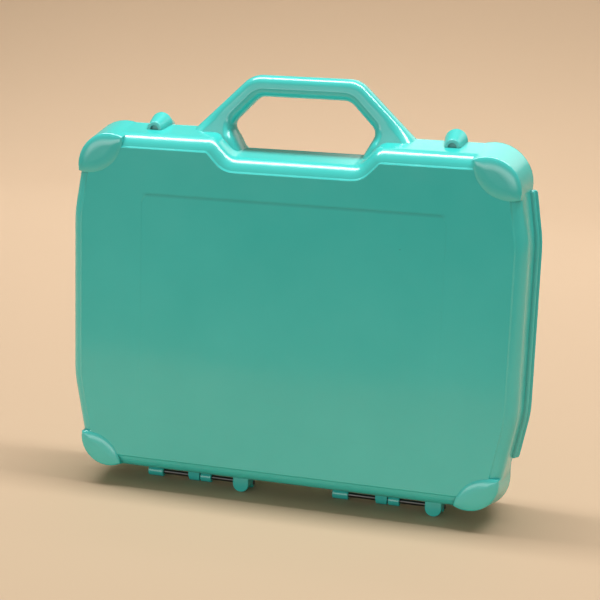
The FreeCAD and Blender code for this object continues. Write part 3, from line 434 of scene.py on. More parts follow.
class FleetCaseSettings(bpy.types.PropertyGroup):
    """All settings of the case."""

    shell: PointerProperty(type=ShellSizes)
    fitting: PointerProperty(type=FittingSizes)
    grid: PointerProperty(type=GridSizes)
    loose: PointerProperty(type=LooseSizes)
    ship: PointerProperty(type=ShipSizes)
    colours: PointerProperty(type=CaseColours)
    stage: PointerProperty(type=StageSettings)


def settings():
    return bpy.context.scene.fleet_case


# Outlines and rings of points

def around(corners):
    """Every corner of a closed outline with the corners before and after it."""
    return zip(corners[-1:] + corners[:-1], corners, corners[1:] + corners[:1])


def turn_between(into, out):
    return math.atan2(into.x * out.y - into.y * out.x, into.dot(out))


def leftwards(direction):
    return Vector((-direction.y, direction.x))


def drawn_in(corners, distance):
    """The same outline, which runs against the clock, with every side moved inwards."""
    moved = []
    for before, corner, after in around(corners):
        into = (corner.at - before.at).normalized()
        out = (after.at - corner.at).normalized()
        shift = (leftwards(into) + leftwards(out)) * distance / (1 + into.dot(out))
        radius = corner.round - math.copysign(distance, turn_between(into, out))
        moved.append(corner._replace(at=corner.at + shift, round=max(radius, LEAST_ROUND)))
    return moved


def flat_ring(corners, inset=0.0):
    """Points along an outline, with an arc at each corner and extra points on its straight runs."""
    arcs = []
    for before, corner, after in around(drawn_in(corners, inset)):
        into = (corner.at - before.at).normalized()
        out = (after.at - corner.at).normalized()
        turn = turn_between(into, out)
        start = corner.at - into * corner.round * math.tan(abs(turn) / 2)
        centre = start + leftwards(into) * math.copysign(corner.round, turn)
        arc = []
        for step in range(corner.steps + 1):
            arm = Matrix.Rotation(turn * step / corner.steps, 2) @ (start - centre)
            arc.append(centre + arm)
        arcs.append((arc, corner.run))
    points = []
    for (arc, run), (following, _) in zip(arcs, arcs[1:] + arcs[:1]):
        points += arc
        points += [arc[-1].lerp(following[0], (step + 1) / (run + 1)) for step in range(run)]
    return points


def upright(points, depth):
    """Flat points stood up in a plane at a depth in front of the meeting plane."""
    return [Vector((point.x, -depth, point.y)) for point in points]


def sideways(points, place):
    """Flat points stood up in a plane across the case; their first measure runs to the back."""
    return [Vector((place, point.x, point.y)) for point in points]


def level(points, height):
    """Flat points laid level at a height; their second measure runs to the back."""
    return [Vector((point.x, point.y, height)) for point in points]


def circle(centre, radius, count):
    """A regular ring of points."""
    angles = [2 * math.pi * index / count for index in range(count)]
    return [centre + radius * Vector((math.cos(angle), math.sin(angle))) for angle in angles]


def arc_over(one, other, bulge, steps):
    """Points from one place towards another along an arc that bulges to the right of the way."""
    along = other - one
    half = along.length / 2
    radius = (half * half + bulge * bulge) / (2 * bulge)
    opening = 2 * math.atan2(bulge, half)
    right = -leftwards(along.normalized())
    middle = (one + other) / 2 - right * (radius - bulge)
    points = []
    for step in range(steps):
        angle = opening * (2 * step / steps - 1)
        points.append(middle + radius * (math.sin(angle) * along.normalized() + math.cos(angle) * right))
    return points


def mirrored_outline(right):
    """The right half of an outline, listed upwards, with its left half."""
    left = [corner._replace(at=Vector((-corner.at.x, corner.at.y))) for corner in reversed(right)]
    return right + left


def rolled_edge(end, width, height, steps):
    """Depths and insets of the rings along a rounded edge that ends at a depth."""
    angles = [QUARTER * step / steps for step in range(steps + 1)]
    return [(end - height * (1 - math.sin(angle)), width * (1 - math.cos(angle))) for angle in angles]


def box_corners(middle, half_width, half_height, radius):
    """A rectangle with rounded corners."""
    return [Corner(middle + Vector((x * half_width, z * half_height)), radius, 4)
            for x, z in ((-1, -1), (1, -1), (1, 1), (-1, 1))]


# Modelling steps

def select_only(piece):
    bpy.ops.object.select_all(action="DESELECT")
    piece.select_set(True)
    bpy.context.view_layer.objects.active = piece


def place_selected(piece, points):
    """Puts the selected vertices, in their order, at the given points."""
    mesh = bmesh.from_edit_mesh(piece.data)
    chosen = [vertex for vertex in mesh.verts if vertex.select]
    if len(chosen) != len(points):
        raise RuntimeError(f"{piece.name}: {len(chosen)} vertices for {len(points)} points")
    for vertex, point in zip(chosen, points):
        vertex.co = point
    bmesh.update_edit_mesh(piece.data)


def loft(name, rings):
    """A closed solid, extruded from one ring of points to the next."""
    bpy.ops.object.select_all(action="DESELECT")
    bpy.ops.mesh.primitive_circle_add(vertices=len(rings[0]), radius=MM, fill_type="NGON")
    piece = bpy.context.object
    piece.name = name
    piece.data.name = name
    bpy.ops.object.mode_set(mode="EDIT")
    bpy.ops.mesh.select_all(action="SELECT")
    place_selected(piece, rings[0])
    for points in rings[1:]:
        bpy.ops.mesh.extrude_region_move()
        place_selected(piece, points)
    bpy.ops.mesh.select_all(action="SELECT")
    bpy.ops.mesh.normals_make_consistent(inside=False)
    bpy.ops.object.mode_set(mode="OBJECT")
    return piece


def soft_slab(name, corners, front, back, edge):
    """A flat slab between two depths, with softened edges."""
    stages = ((front, edge), (front - edge, 0), (back + edge, 0), (back, edge))
    return loft(name, [upright(flat_ring(corners, inset), depth) for depth, inset in stages])


def round_bar(name, centre, radius, start, end, soft=0.0, sides=32):
    """A round bar along X between two places, with softened ends."""
    stages = [(start, soft), (end, soft)]
    if soft:
        stages[1:1] = [(start + soft, 0), (end - soft, 0)]
    return loft(name, [sideways(circle(centre, radius - inset, sides), place) for place, inset in stages])


def turned_solid(name, profile, sides):
    """A round solid about the Y axis, given by radii and depths."""
    middle = Vector((0, 0))
    return loft(name, [upright(circle(middle, radius, sides), depth) for radius, depth in profile])


def repeated(piece, count, step):
    """Makes a row of copies of a piece."""
    modifier = piece.modifiers.new("row", "ARRAY")
    modifier.count = count
    modifier.use_relative_offset = False
    modifier.use_constant_offset = True
    modifier.constant_offset_displace = step
    select_only(piece)
    bpy.ops.object.modifier_apply(modifier=modifier.name)


def joined(name, parts):
    """One piece out of several separate solids."""
    select_only(parts[0])
    for part in parts[1:]:
        part.select_set(True)
    if len(parts) > 1:
        bpy.ops.object.join()
    parts[0].name = name
    parts[0].data.name = name
    return parts[0]


def solids_of(node):
    """The boxes of the separate solids in a CAD node, each as its lowest and highest corner."""
    mesh = bmesh.new()
    mesh.from_mesh(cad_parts[node].data)
    bmesh.ops.remove_doubles(mesh, verts=mesh.verts, dist=LEAST_ROUND)
    boxes = []
    left = set(mesh.verts)
    while left:
        reached = [left.pop()]
        for vertex in reached:
            near = {edge.other_vert(vertex) for edge in vertex.link_edges} & left
            left -= near
            reached += near
        boxes.append([Vector(map(pick, zip(*(vertex.co for vertex in reached)))) for pick in (min, max)])
    mesh.free()
    return boxes


def copied(piece, name, matrix):
    """A second piece with its own mesh, moved, turned or mirrored."""
    select_only(piece)
    bpy.ops.object.duplicate(linked=False)
    copy = bpy.context.object
    copy.name = name
    copy.data.name = name
    copy.data.transform(matrix)
    if matrix.determinant() < 0:
        copy.data.flip_normals()
    return copy


def combine(piece, operation, tools):
    """Joins the tools to a piece or cuts them out of it, and clears them away."""
    for tool in tools:
        modifier = piece.modifiers.new("combine", "BOOLEAN")
        modifier.operation = operation
        modifier.solver = "EXACT"
        modifier.object = tool
        select_only(piece)
        bpy.ops.object.modifier_apply(modifier=modifier.name)
        bpy.data.objects.remove(tool)


def smooth(piece, degrees=32):
    """Merges doubles, shades round faces smooth and keeps flat faces flat."""
    select_only(piece)
    bpy.ops.object.mode_set(mode="EDIT")
    bpy.ops.mesh.select_all(action="SELECT")
    bpy.ops.mesh.remove_doubles(threshold=MERGE)
    bpy.ops.mesh.dissolve_degenerate(threshold=SLIVER)
    bpy.ops.mesh.normals_make_consistent(inside=False)
    bpy.ops.object.mode_set(mode="OBJECT")
    bpy.ops.object.shade_smooth_by_angle(angle=math.radians(degrees))
    modifier = piece.modifiers.new("even shading", "WEIGHTED_NORMAL")
    modifier.keep_sharp = True
    bpy.ops.object.modifier_apply(modifier=modifier.name)
    modifier = piece.modifiers.new("small faces", "TRIANGULATE")
    modifier.min_vertices = 5
    modifier.keep_custom_normals = True
    bpy.ops.object.modifier_apply(modifier=modifier.name)


def dress(piece, material, body, slot, *nodes):
    """Gives a finished piece its material and its place in the frame."""
    piece.data.materials.clear()
    piece.data.materials.append(material)
    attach(piece, body)
    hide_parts(*nodes)


# Materials

def new_material(name):
    material = bpy.data.materials.new(name)
    material.use_nodes = True
    return material, material.node_tree, material.node_tree.nodes["Principled BSDF"]


def add_node(tree, kind, inputs=None, **fields):
    """A node with its fields set and its inputs either set or linked."""
    node = tree.nodes.new(kind)
    for field, value in fields.items():
        setattr(node, field, value)
    for name, value in (inputs or {}).items():
        socket = node.inputs[name]
        if isinstance(value, bpy.types.NodeSocket):
            tree.links.new(value, socket)
        else:
            socket.default_value = value
    return node


def object_place(tree):
    return add_node(tree, "ShaderNodeTexCoord").outputs["Object"]


def axes_of(tree, place):
    return add_node(tree, "ShaderNodeSeparateXYZ", {"Vector": place}).outputs


def noise(tree, place, scale, detail=2.0, roughness=0.5):
    return add_node(tree, "ShaderNodeTexNoise", {
        "Vector": place, "Scale": scale, "Detail": detail, "Roughness": roughness,
    }).outputs["Fac"]


def remap(tree, value, low, high, to_low=0, to_high=1):
    """A value stretched from one range to another and kept inside it."""
    return add_node(tree, "ShaderNodeMapRange", {
        "Value": value, "From Min": low, "From Max": high, "To Min": to_low, "To Max": to_high,
    }).outputs["Result"]


def calculate(tree, operation, first, second=0):
    return add_node(tree, "ShaderNodeMath", {0: first, 1: second}, operation=operation).outputs[0]


def blend(tree, share, first, second):
    """One colour over another."""
    return add_node(tree, "ShaderNodeMix", {0: share, 6: first, 7: second}, data_type="RGBA").outputs[2]


def specks(tree, place, scale, size, share):
    """A mask of small round dots in some of the cells of a scattered grid."""
    cells = add_node(tree, "ShaderNodeTexVoronoi", {"Vector": place, "Scale": scale})
    dots = remap(tree, cells.outputs["Distance"], size, size * 0.6)
    pick = add_node(tree, "ShaderNodeSeparateColor", {"Color": cells.outputs["Color"]}).outputs["Red"]
    return calculate(tree, "MULTIPLY", dots, remap(tree, pick, 1 - share, 1 - share + 0.01))


def opaque(rgb, share=1.0):
    """A colour, or a share of it, with nothing seen through it."""
    return (*(share * value for value in rgb), 1.0)


def emboss(tree, shader, height, deep):
    """Gives a shader a height map."""
    bump = add_node(tree, "ShaderNodeBump", {"Height": height, "Strength": 1.0, "Distance": deep})
    tree.links.new(bump.outputs["Normal"], shader.inputs["Normal"])


def label_edge_shade(tree, axes, depth):
    """A mask of painted shade along the upper edge of the label recess, which fades out at the recess's
    sides.
    """
    size = settings().shell
    panel = size.depth + size.panel_rise
    below = calculate(tree, "SUBTRACT", axes["Z"], size.label_high - LABEL_SHADE_DROP)
    line = remap(tree, calculate(tree, "ABSOLUTE", below), LABEL_SHADE_NEAR, LABEL_SHADE_FAR, LABEL_SHADE_SHARE, 0)
    aside = calculate(tree, "ABSOLUTE", axes["X"])
    within = remap(tree, aside, size.label_half - LABEL_SHADE_FADE, size.label_half, 1, 0)
    on_face = remap(tree, depth, panel - FACE_BEHIND, panel - FACE_EDGE)
    return calculate(tree, "MULTIPLY", calculate(tree, "MULTIPLY", line, within), on_face)


def off_panel(tree, depth):
    """A mask of all but the face panel: what rolls away behind it and what stands in front of it."""
    size = settings().shell
    panel = size.depth + size.panel_rise
    behind = remap(tree, depth, panel - FACE_BEHIND, panel - FACE_EDGE, 1, 0)
    before = remap(tree, depth, panel + FACE_BEFORE, panel + FACE_EDGE)
    return calculate(tree, "MAXIMUM", behind, before)


def shell_plastic():
    """Glossy mint moulding with paler patches, soft waviness, a few specks, rubbed spots, and painted shade
    in creases and under the recess's upper edge.
    """
    colours = settings().colours
    material, tree, shader = new_material("mint_plastic")
    place = object_place(tree)
    axes = axes_of(tree, place)
    depth = calculate(tree, "ABSOLUTE", axes["Y"])
    patches = remap(tree, noise(tree, place, scale=22, detail=3), 0.35, 0.7)
    base = blend(tree, patches, opaque(colours.shell), opaque(colours.shell_pale))
    dirt = specks(tree, place, scale=70, size=0.028, share=0.12)
    base = blend(tree, dirt, base, opaque(colours.speck_and_shade))
    # Painted shade: ambient occlusion darkens the colour in creases, and joins the painted shade under the
    # recess's upper edge
    crease = add_node(tree, "ShaderNodeAmbientOcclusion", {"Distance": CREASE_REACH},
                      samples=8, only_local=True)
    crease_shade = remap(tree, crease.outputs["AO"], 0.3, 0.85, CREASE_SHADE_SHARE, 0)
    painted_shade = calculate(tree, "MAXIMUM", label_edge_shade(tree, axes, depth), crease_shade)
    base = blend(tree, painted_shade, base, opaque(colours.speck_and_shade))
    tree.links.new(base, shader.inputs["Base Color"])
    rolled = off_panel(tree, depth)
    rubbed = remap(tree, noise(tree, place, scale=60, detail=5, roughness=0.65), 0.4, 0.75, 0.11, 0.17)
    satin = calculate(tree, "ADD", rubbed, calculate(tree, "MULTIPLY", rolled, 0.10))
    tree.links.new(satin, shader.inputs["Roughness"])
    grain = calculate(tree, "MULTIPLY", noise(tree, place, scale=1100, detail=1),
                      calculate(tree, "MULTIPLY", rolled, 0.004))
    ripples = calculate(tree, "MULTIPLY", noise(tree, place, scale=170, detail=1),
                        remap(tree, rolled, 0, 1, 0.03, 0.006))
    waves = calculate(tree, "ADD", noise(tree, place, scale=13, detail=0), ripples)
    emboss(tree, shader, calculate(tree, "ADD", waves, grain), 0.7 * MM)
    shader.inputs["IOR"].default_value = 1.8
    shader.inputs["Specular IOR Level"].default_value = 0.58
    return material


def surface(tree, shader, place, base, sheen, height, deep):
    """Gives a shader its colour, a roughness that varies about a value, and a height map."""
    tree.links.new(base, shader.inputs["Base Color"])
    wear = noise(tree, place, scale=150, detail=4, roughness=0.6)
    worn = remap(tree, wear, 0.3, 0.75, 0.85 * sheen, 1.35 * sheen)
    tree.links.new(worn, shader.inputs["Roughness"])
    emboss(tree, shader, height, deep)


def moulded(name, tone, sheen):
    """A plain moulding with a mottled colour, handling marks and a fine skin."""
    material, tree, shader = new_material(name)
    place = object_place(tree)
    mottled = remap(tree, noise(tree, place, scale=140, detail=3), 0.35, 0.65)
    base = blend(tree, mottled, opaque(tone), opaque(tone, 0.86))
    surface(tree, shader, place, base, sheen, noise(tree, place, scale=1400, detail=2), 0.01 * MM)
    return material


def grid_plastic():
    """Satin moulding with raised pale lines between the cells of the peg field."""
    colours = settings().colours
    grid = settings().grid
    material, tree, shader = new_material("grid_plastic")
    place = object_place(tree)
    axes = axes_of(tree, place)
    side = calculate(tree, "SIGN", axes["Y"])
    across = calculate(tree, "MULTIPLY", axes["X"], side)
    columns = calculate(tree, "MULTIPLY", across, -1 / grid.pitch)
    columns = calculate(tree, "ADD", columns, 0.5 - grid.first_x / grid.pitch)
    rows = calculate(tree, "MULTIPLY", axes["Z"], 1 / grid.pitch)
    rows = calculate(tree, "ADD", rows, 0.5 - grid.first_z / grid.pitch)
    lines = None
    field = None
    for cells in (columns, rows):
        line = remap(tree, calculate(tree, "PINGPONG", cells, 0.5), 0.016, 0.03, 1, 0)
        off_middle = calculate(tree, "ABSOLUTE", calculate(tree, "ADD", cells, -GRID_COUNT / 2))
        inside = remap(tree, off_middle, GRID_COUNT / 2 + 0.02, GRID_COUNT / 2 + 0.03, 1, 0)
        lines = calculate(tree, "MAXIMUM", lines, line) if lines else line
        field = calculate(tree, "MULTIPLY", field, inside) if field else inside
    lines = calculate(tree, "MULTIPLY", lines, field)
    mottled = remap(tree, noise(tree, place, scale=60, detail=3), 0.35, 0.65)
    base = blend(tree, mottled, opaque(colours.grid), opaque(colours.grid, 0.85))
    base = blend(tree, lines, base, opaque(colours.grid_line))
    skin = calculate(tree, "MULTIPLY", noise(tree, place, scale=1100, detail=2), 0.06)
    height = calculate(tree, "ADD", lines, skin)
    surface(tree, shader, place, base, 0.36, height, 0.15 * MM)
    return material


def drawn_steel(name, tone):
    """Drawn wire with fine marks along it and a dull sheen."""
    material, tree, shader = new_material(name)
    place = object_place(tree)
    drawn = add_node(tree, "ShaderNodeMapping", {"Vector": place, "Scale": (40, 900, 900)})
    marks = noise(tree, drawn.outputs["Vector"], scale=1, detail=3)
    base = blend(tree, remap(tree, marks, 0.3, 0.7), opaque(tone), opaque(tone, 0.75))
    surface(tree, shader, place, base, 0.32, marks, 0.02 * MM)
    shader.inputs["Metallic"].default_value = 1.0
    return material


# The two halves

def shell_outline(lean):
    """The outline of a half: lean is 0 at the meeting plane and 1 at the face."""
    size = settings().shell
    top = size.top - lean * size.top_draft
    bottom = size.bottom + lean * size.bottom_draft
    floor = size.dip_floor - lean * size.dip_draft
    half = size.half_width - lean * size.side_draft
    slope = size.dip_run / (size.top - size.dip_floor)
    return mirrored_outline([
        Corner(Vector((side_at(bottom, lean), bottom)), size.corner_round, 12),
        Corner(Vector((half, size.kink_low)), size.kink_round, 4),
        Corner(Vector((half, size.kink_high)), size.kink_round, 4),
        Corner(Vector((side_at(top, lean), top)), size.corner_round, 12),
        Corner(Vector((size.dip_half + slope * (top - floor), top)), size.shoulder_round, 8),
        Corner(Vector((size.dip_half, floor)), size.dip_round, 8),
    ])


def side_at(height, lean):
    """Half width of a half at a height beyond the kinks."""
    size = settings().shell
    half = size.half_width - lean * size.side_draft
    if height > size.kink_high:
        reach = size.half_width - size.top_corner
        return half - reach * (height - size.kink_high) / (size.top - size.kink_high)
    reach = size.half_width - size.low_corner
    return half - reach * (size.kink_low - height) / (size.kink_low - size.bottom)


def shell_ring(depth, inset):
    size = settings().shell
    return upright(flat_ring(shell_outline(depth / size.depth), inset), depth)


def rim_rings(shrink=0.0):
    """Rings along the leaning walls and round the rolled rim, all drawn in by a distance."""
    size = settings().shell
    rings = [shell_ring(0, size.edge_break + shrink), shell_ring(size.edge_break, shrink)]
    end = math.acos(1 - size.panel_inset / size.rim_round)
    for step in range(RIM_STEPS + 1):
        angle = end * step / RIM_STEPS
        depth = size.depth - size.rim_round * (1 - math.sin(angle))
        rings.append(shell_ring(depth - shrink, size.rim_round * (1 - math.cos(angle)) + shrink))
    return rings


def shell_outside():
    """The outer form of a half: leaning walls, a rolled rim and a slightly raised face panel."""
    size = settings().shell
    rings = rim_rings()
    lowest = -rings[-1][0].y
    front = size.depth + size.panel_rise
    for share in PANEL_SHARES:
        rise = 0.5 - 0.5 * math.cos(math.pi * share)
        depth = lowest + (front - lowest) * rise
        rings.append(shell_ring(depth, size.panel_inset + size.panel_slope * share))
    block = loft("shell_block", rings)
    label = [Corner(Vector((x, z)), size.label_round, 6) for x, z in (
        (-size.label_half, size.label_low), (size.label_half, size.label_low),
        (size.label_half, size.label_high), (-size.label_half, size.label_high))]
    tall = size.label_high - size.label_low

    def recess_ring(inset, share):
        points = flat_ring(label, inset)
        depths = [front - size.label_depth * share * (point.y - size.label_low + inset) / tall
                  for point in points]
        return [Vector((point.x, -depth, point.y)) for point, depth in zip(points, depths)]

    bend, bend_depth = RECESS_BEND
    recess = loft("label_recess", [
        recess_ring(size.label_slope, 1.0),
        recess_ring(size.label_slope * bend, bend_depth),
        recess_ring(-size.label_slope, -1.0),
    ])
    combine(block, "DIFFERENCE", [recess])
    return block


def shell_hollow():
    """The space inside a half."""
    size = settings().shell
    deep = size.depth - size.wall
    stages = ((-size.wall, size.wall), (deep - size.rim_bevel, size.wall), (deep, size.wall + size.rim_bevel))
    rings = []
    for depth, inset in stages:
        lean = max(depth, 0) / deep
        rings.append(upright(flat_ring(shell_outline(lean), inset), depth))
    return loft("shell_hollow", rings)


def corner_guard(name, high):
    """A pillow across a right-hand corner, from the meeting plane round to the face."""
    size = settings().shell
    part = settings().fitting
    front = size.depth + size.panel_rise + part.guard_rise

    def lens(depth, inset):
        lean = min(depth / size.depth, 1)
        if high:
            wall = Vector((part.guard_tip, size.top - lean * size.top_draft - part.guard_sink))
            side = Vector((side_at(part.guard_high, lean) - part.guard_sink, part.guard_high))
        else:
            side = Vector((part.guard_tip, size.bottom + lean * size.bottom_draft + part.guard_sink))
            wall = Vector((side_at(part.guard_low, lean) - part.guard_sink, part.guard_low))
        pull = (side - wall).normalized() * inset * GUARD_PULL
        inner = part.guard_inner if high else part.guard_inner_low
        outer = part.guard_face if high else part.guard_face_low
        outer = part.guard_back + (outer - part.guard_back) * lean
        one, other = wall + pull, side - pull
        points = arc_over(one, other, inner - inset, GUARD_ARC_STEPS)
        points += arc_over(other, one, outer - inset, GUARD_ARC_STEPS)
        return upright(points, depth)

    stages = [(size.edge_break, 0)] + rolled_edge(front, part.guard_roll, part.guard_dome, GUARD_STEPS)
    return loft(name, [lens(depth, inset) for depth, inset in stages])


def handle_half():
    """Half of the carrying handle, with rounded edges and feet that spread on the top wall."""
    part = settings().fitting
    outer = Vector((part.handle_foot, part.handle_root))
    bend = Vector((part.handle_half, part.handle_top))
    wide = Vector((part.grip_wide, part.grip_wide_height))
    foot = Vector((part.grip_foot, part.grip_foot_height))
    outer += (outer - bend) * part.handle_sink / (bend.y - outer.y)
    foot += (foot - wide) * part.handle_sink / (wide.y - foot.y)
    over = mirrored_outline([
        Corner(outer, run=HANDLE_RUN),
        Corner(bend, part.handle_bend, 10, HANDLE_RUN),
    ])
    under = mirrored_outline([
        Corner(foot, run=HANDLE_RUN),
        Corner(wide, part.grip_side, 6, HANDLE_RUN),
        Corner(Vector((part.grip_half, part.grip_under)), part.grip_bend, 8, HANDLE_RUN),
    ])
    corners = over + list(reversed(under))
    stages = [(0, part.edge), (part.edge, 0)]
    stages += rolled_edge(part.handle_depth, part.handle_roll, part.handle_dome, HANDLE_STEPS)
    rings = [upright(flat_ring(corners, inset), depth) for depth, inset in stages]
    flare_top = part.handle_root + part.handle_flare
    for points in rings:
        for point in points:
            share = min(max((flare_top - point.z) / part.handle_flare, 0), 1)
            point.y *= 1 + HANDLE_SPREAD * share * share
    return loft("handle", rings)


def finger_lip(name, reach):
    """The strip along the right side where the halves meet."""
    size = settings().shell
    part = settings().fitting
    low = side_at(part.lip_low, 0)
    high = side_at(part.lip_high, 0)
    root = part.lip_root
    corners = [
        Corner(Vector((low + reach, part.lip_low)), part.lip_end, 5),
        Corner(Vector((size.half_width + reach, size.kink_low)), size.kink_round, 4),
        Corner(Vector((size.half_width + reach, size.kink_high)), size.kink_round, 4),
        Corner(Vector((high + reach, part.lip_high)), part.lip_end, 5),
        Corner(Vector((high - root, part.lip_high))),
        Corner(Vector((size.half_width - root, size.kink_high)), size.kink_round, 4),
        Corner(Vector((size.half_width - root, size.kink_low)), size.kink_round, 4),
        Corner(Vector((low - root, part.lip_low))),
    ]
    stages = [(0, part.edge), (part.edge, 0)]
    stages += rolled_edge(part.lip_thick, part.lip_roll, part.lip_roll, LIP_STEPS)
    return loft(name, [upright(flat_ring(corners, inset), depth) for depth, inset in stages])


def hump_centre(depth):
    """The axis of a catch hump, which follows the leaning top wall."""
    size = settings().shell
    part = settings().fitting
    height = size.top + part.hump_lift - size.top_draft * depth / size.depth
    return Vector((part.hump_place, height))


def catch_hump():
    """The tapering hump that covers a snap catch."""
    part = settings().fitting
    end = part.hump_length
    taper = (part.hump_round - part.mouth_round) / end
    stages = ((0, HUMP_EDGE), (HUMP_EDGE, 0), (end - HUMP_SOFT, 0), (end - HUMP_CURVE, HUMP_CURVE),
              (end, HUMP_SOFT))
    return loft("hump", [
        upright(circle(hump_centre(depth), part.hump_round - taper * depth - inset, HUMP_SIDES), depth)
        for depth, inset in stages])


def catch_tunnel(name, first, last, grow=0.0):
    """A stretch of the hollow along a hump: round above and flat along the wall."""
    part = settings().fitting
    taper = (part.hump_round - part.mouth_round) / part.hump_length
    rings = []
    for depth in (first, last):
        centre = hump_centre(depth)
        radius = part.hump_round - taper * depth - part.hump_wall + grow
        least = centre.y - part.edge - grow
        points = [Vector((point.x, max(point.y, least))) for point in circle(centre, radius, TUNNEL_SIDES)]
        rings.append(upright(points, depth))
    return loft(name, rings)


def catch_tongue():
    """The snap tongue that grows from the left hump and enters the other half, with its root."""
    size = settings().shell
    part = settings().fitting
    low = size.top + TONGUE_LIFT
    middle = Vector((-part.hump_place, low + part.tongue_thick / 2))
    blade = box_corners(middle, part.tongue_half, part.tongue_thick / 2, TONGUE_SOFT)
    middle = Vector((-part.hump_place, size.top + TONGUE_ROOT_RISE))
    root = box_corners(middle, TONGUE_ROOT_HALF, TONGUE_ROOT_RISE, TONGUE_SOFT)
    return [
        loft("tongue", [
            upright(flat_ring(blade, TONGUE_SOFT), -part.tongue_reach),
            upright(flat_ring(blade), TONGUE_TAPER - part.tongue_reach),
            upright(flat_ring(blade), TONGUE_ROOT_FRONT),
        ]),
        loft("tongue_root", [
            upright(flat_ring(root), TONGUE_ROOT_BACK),
            upright(flat_ring(root), TONGUE_ROOT_FRONT),
        ]),
    ]


def hinge_barrel(name, place, half):
    """A barrel round the hinge pin."""
    radius = settings().fitting.knuckle_round
    return round_bar(name, Vector((0, radius)), radius, place - half, place + half, BARREL_SOFT)


def hinge_lug(place):
    """A round-bottomed lug that the case stands on, with its barrel."""
    part = settings().fitting
    half = part.lug_half
    corners = [
        Corner(Vector((place - half, 0)), half * LUG_ROUND, 10),
        Corner(Vector((place + half, 0)), half * LUG_ROUND, 10),
        Corner(Vector((place + half, part.lug_root))),
        Corner(Vector((place - half, part.lug_root))),
    ]
    web = loft("lug", [
        upright(flat_ring(corners, part.edge), part.edge / 4),
        upright(flat_ring(corners), part.edge * 5 / 4),
        upright(flat_ring(corners), part.lug_length - LUG_SOFT),
        upright(flat_ring(corners, LUG_CURVE), part.lug_length - LUG_CURVE),
        upright(flat_ring(corners, LUG_SOFT), part.lug_length),
    ])
    combine(web, "UNION", [hinge_barrel("lug_barrel", place, half - part.edge / 2)])
    return web


def hinge_knuckle(place):
    """A narrow knuckle in the middle of a hinge."""
    part = settings().fitting
    half = part.knuckle_half
    thick = part.knuckle_round - part.edge / 4
    middle = Vector((thick / 2 - part.knuckle_round, (part.knuckle_round + part.lug_root) / 2))
    tall = part.lug_root - part.knuckle_round
    arm = flat_ring(box_corners(middle, thick / 2, tall / 2, part.edge / 4))
    knuckle = loft("knuckle_arm", [sideways(arm, place - half), sideways(arm, place + half)])
    combine(knuckle, "UNION", [hinge_barrel("knuckle_barrel", place, half - part.edge / 2)])
    return knuckle


def model_half():
    """One moulded half of the case, as the front one stands."""
    size = settings().shell
    part = settings().fitting
    half = shell_outside()
    parts = []
    for piece in (corner_guard("upper_guard", True), corner_guard("lower_guard", False), catch_hump()):
        parts += [piece, copied(piece, piece.name + "_left", MIRROR)]
    left_lip = finger_lip("left_lip", part.lip_reach)
    left_lip.data.transform(MIRROR)
    left_lip.data.flip_normals()
    parts += [left_lip, finger_lip("right_lip", part.lip_short), handle_half()]
    parts += [hinge_lug(place) for place in (part.lug_left, part.lug_right)]
    parts += [hinge_knuckle(place) for place in (part.knuckle_left, part.knuckle_right)]
    combine(half, "UNION", parts)
    tunnel = catch_tunnel("tunnel", -part.edge, part.hump_length + part.edge)
    axis = Vector((0, part.knuckle_round))
    bore = round_bar("bore", axis, part.bore_round, -size.half_width, size.half_width)
    combine(half, "DIFFERENCE", [shell_hollow(), tunnel, copied(tunnel, "tunnel_left", MIRROR), bore])
    grid = settings().grid
    floor = size.depth - size.wall
    under = grid.depth + grid.thick
    bosses = screw_columns("bosses", grid.boss_round, floor + grid.edge, under)
    combine(bosses, "INTERSECT", [loft("boss_bounds", rim_rings(size.wall / 2))])
    mouth = part.hump_length - part.mouth_depth
    plug = catch_tunnel("plug", part.tongue_reach + 2 * part.edge, mouth, part.edge)
    combine(half, "UNION", catch_tongue() + [bosses, plug, copied(plug, "plug_left", MIRROR)])
    combine(half, "DIFFERENCE", [screw_columns("pilots", grid.screw_hole, floor, under - grid.thick)])
    smooth(half)
    return half


class FLEETCASE_OT_shells(bpy.types.Operator):
    """Models the front half of the case and turns a copy of it round for the rear half"""

    bl_idname = "fleet_case.shells"
    bl_label = "Two halves"

    def execute(self, context):
        material = shell_plastic()
        front = model_half()
        front.name = "front_half"
        rear = copied(front, "rear_half", HALF_TURN)
        dress(front, material, "lid", "shell", "front_shell")
        dress(rear, material, "base", "shell", "rear_shell")
        return {"FINISHED"}


# Pins, grids and what lies between them

def screw_columns(name, radius, front, back):
    """Round columns at the screws of the front plate, between two depths."""
    columns = []
    for low, high in solids_of("front_grid_screws"):
        ring = circle(Vector((low.x + high.x, low.z + high.z)) / 2, radius, COLUMN_SIDES)
        columns.append(loft(name, [upright(ring, front), upright(ring, back)]))
    return joined(name, columns)


def places_of(node):
    """Where the solids of a CAD node stand on the play face of the front plate."""
    seat = -settings().grid.depth
    return [Matrix.Translation(((low.x + high.x) / 2, seat, (low.z + high.z) / 2))
            for low, high in solids_of(node)]


def scattered(name, model, places):
    """Copies of a model at several places, as one piece."""
    return joined(name, [copied(model, model.name, place) for place in places])


class FLEETCASE_OT_hinge_pins(bpy.types.Operator):
    """Models the two hinge pins"""

    bl_idname = "fleet_case.hinge_pins"
    bl_label = "Hinge pins"

    def execute(self, context):
        # The dark wire colour is painted shade for the shadow the pins lie in
        material = drawn_steel("pin_steel", settings().colours.wire)
        for side in ("left", "right"):
            low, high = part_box(f"hinge_pin_{side}")
            middle = (low + high) / 2
            radius = (high.z - low.z) / 2
            pin = round_bar(f"pin_{side}", Vector((middle.y, middle.z)), radius, low.x, high.x, PIN_SOFT)
            smooth(pin)
            dress(pin, material, "base", "pin", f"hinge_pin_{side}")
        return {"FINISHED"}


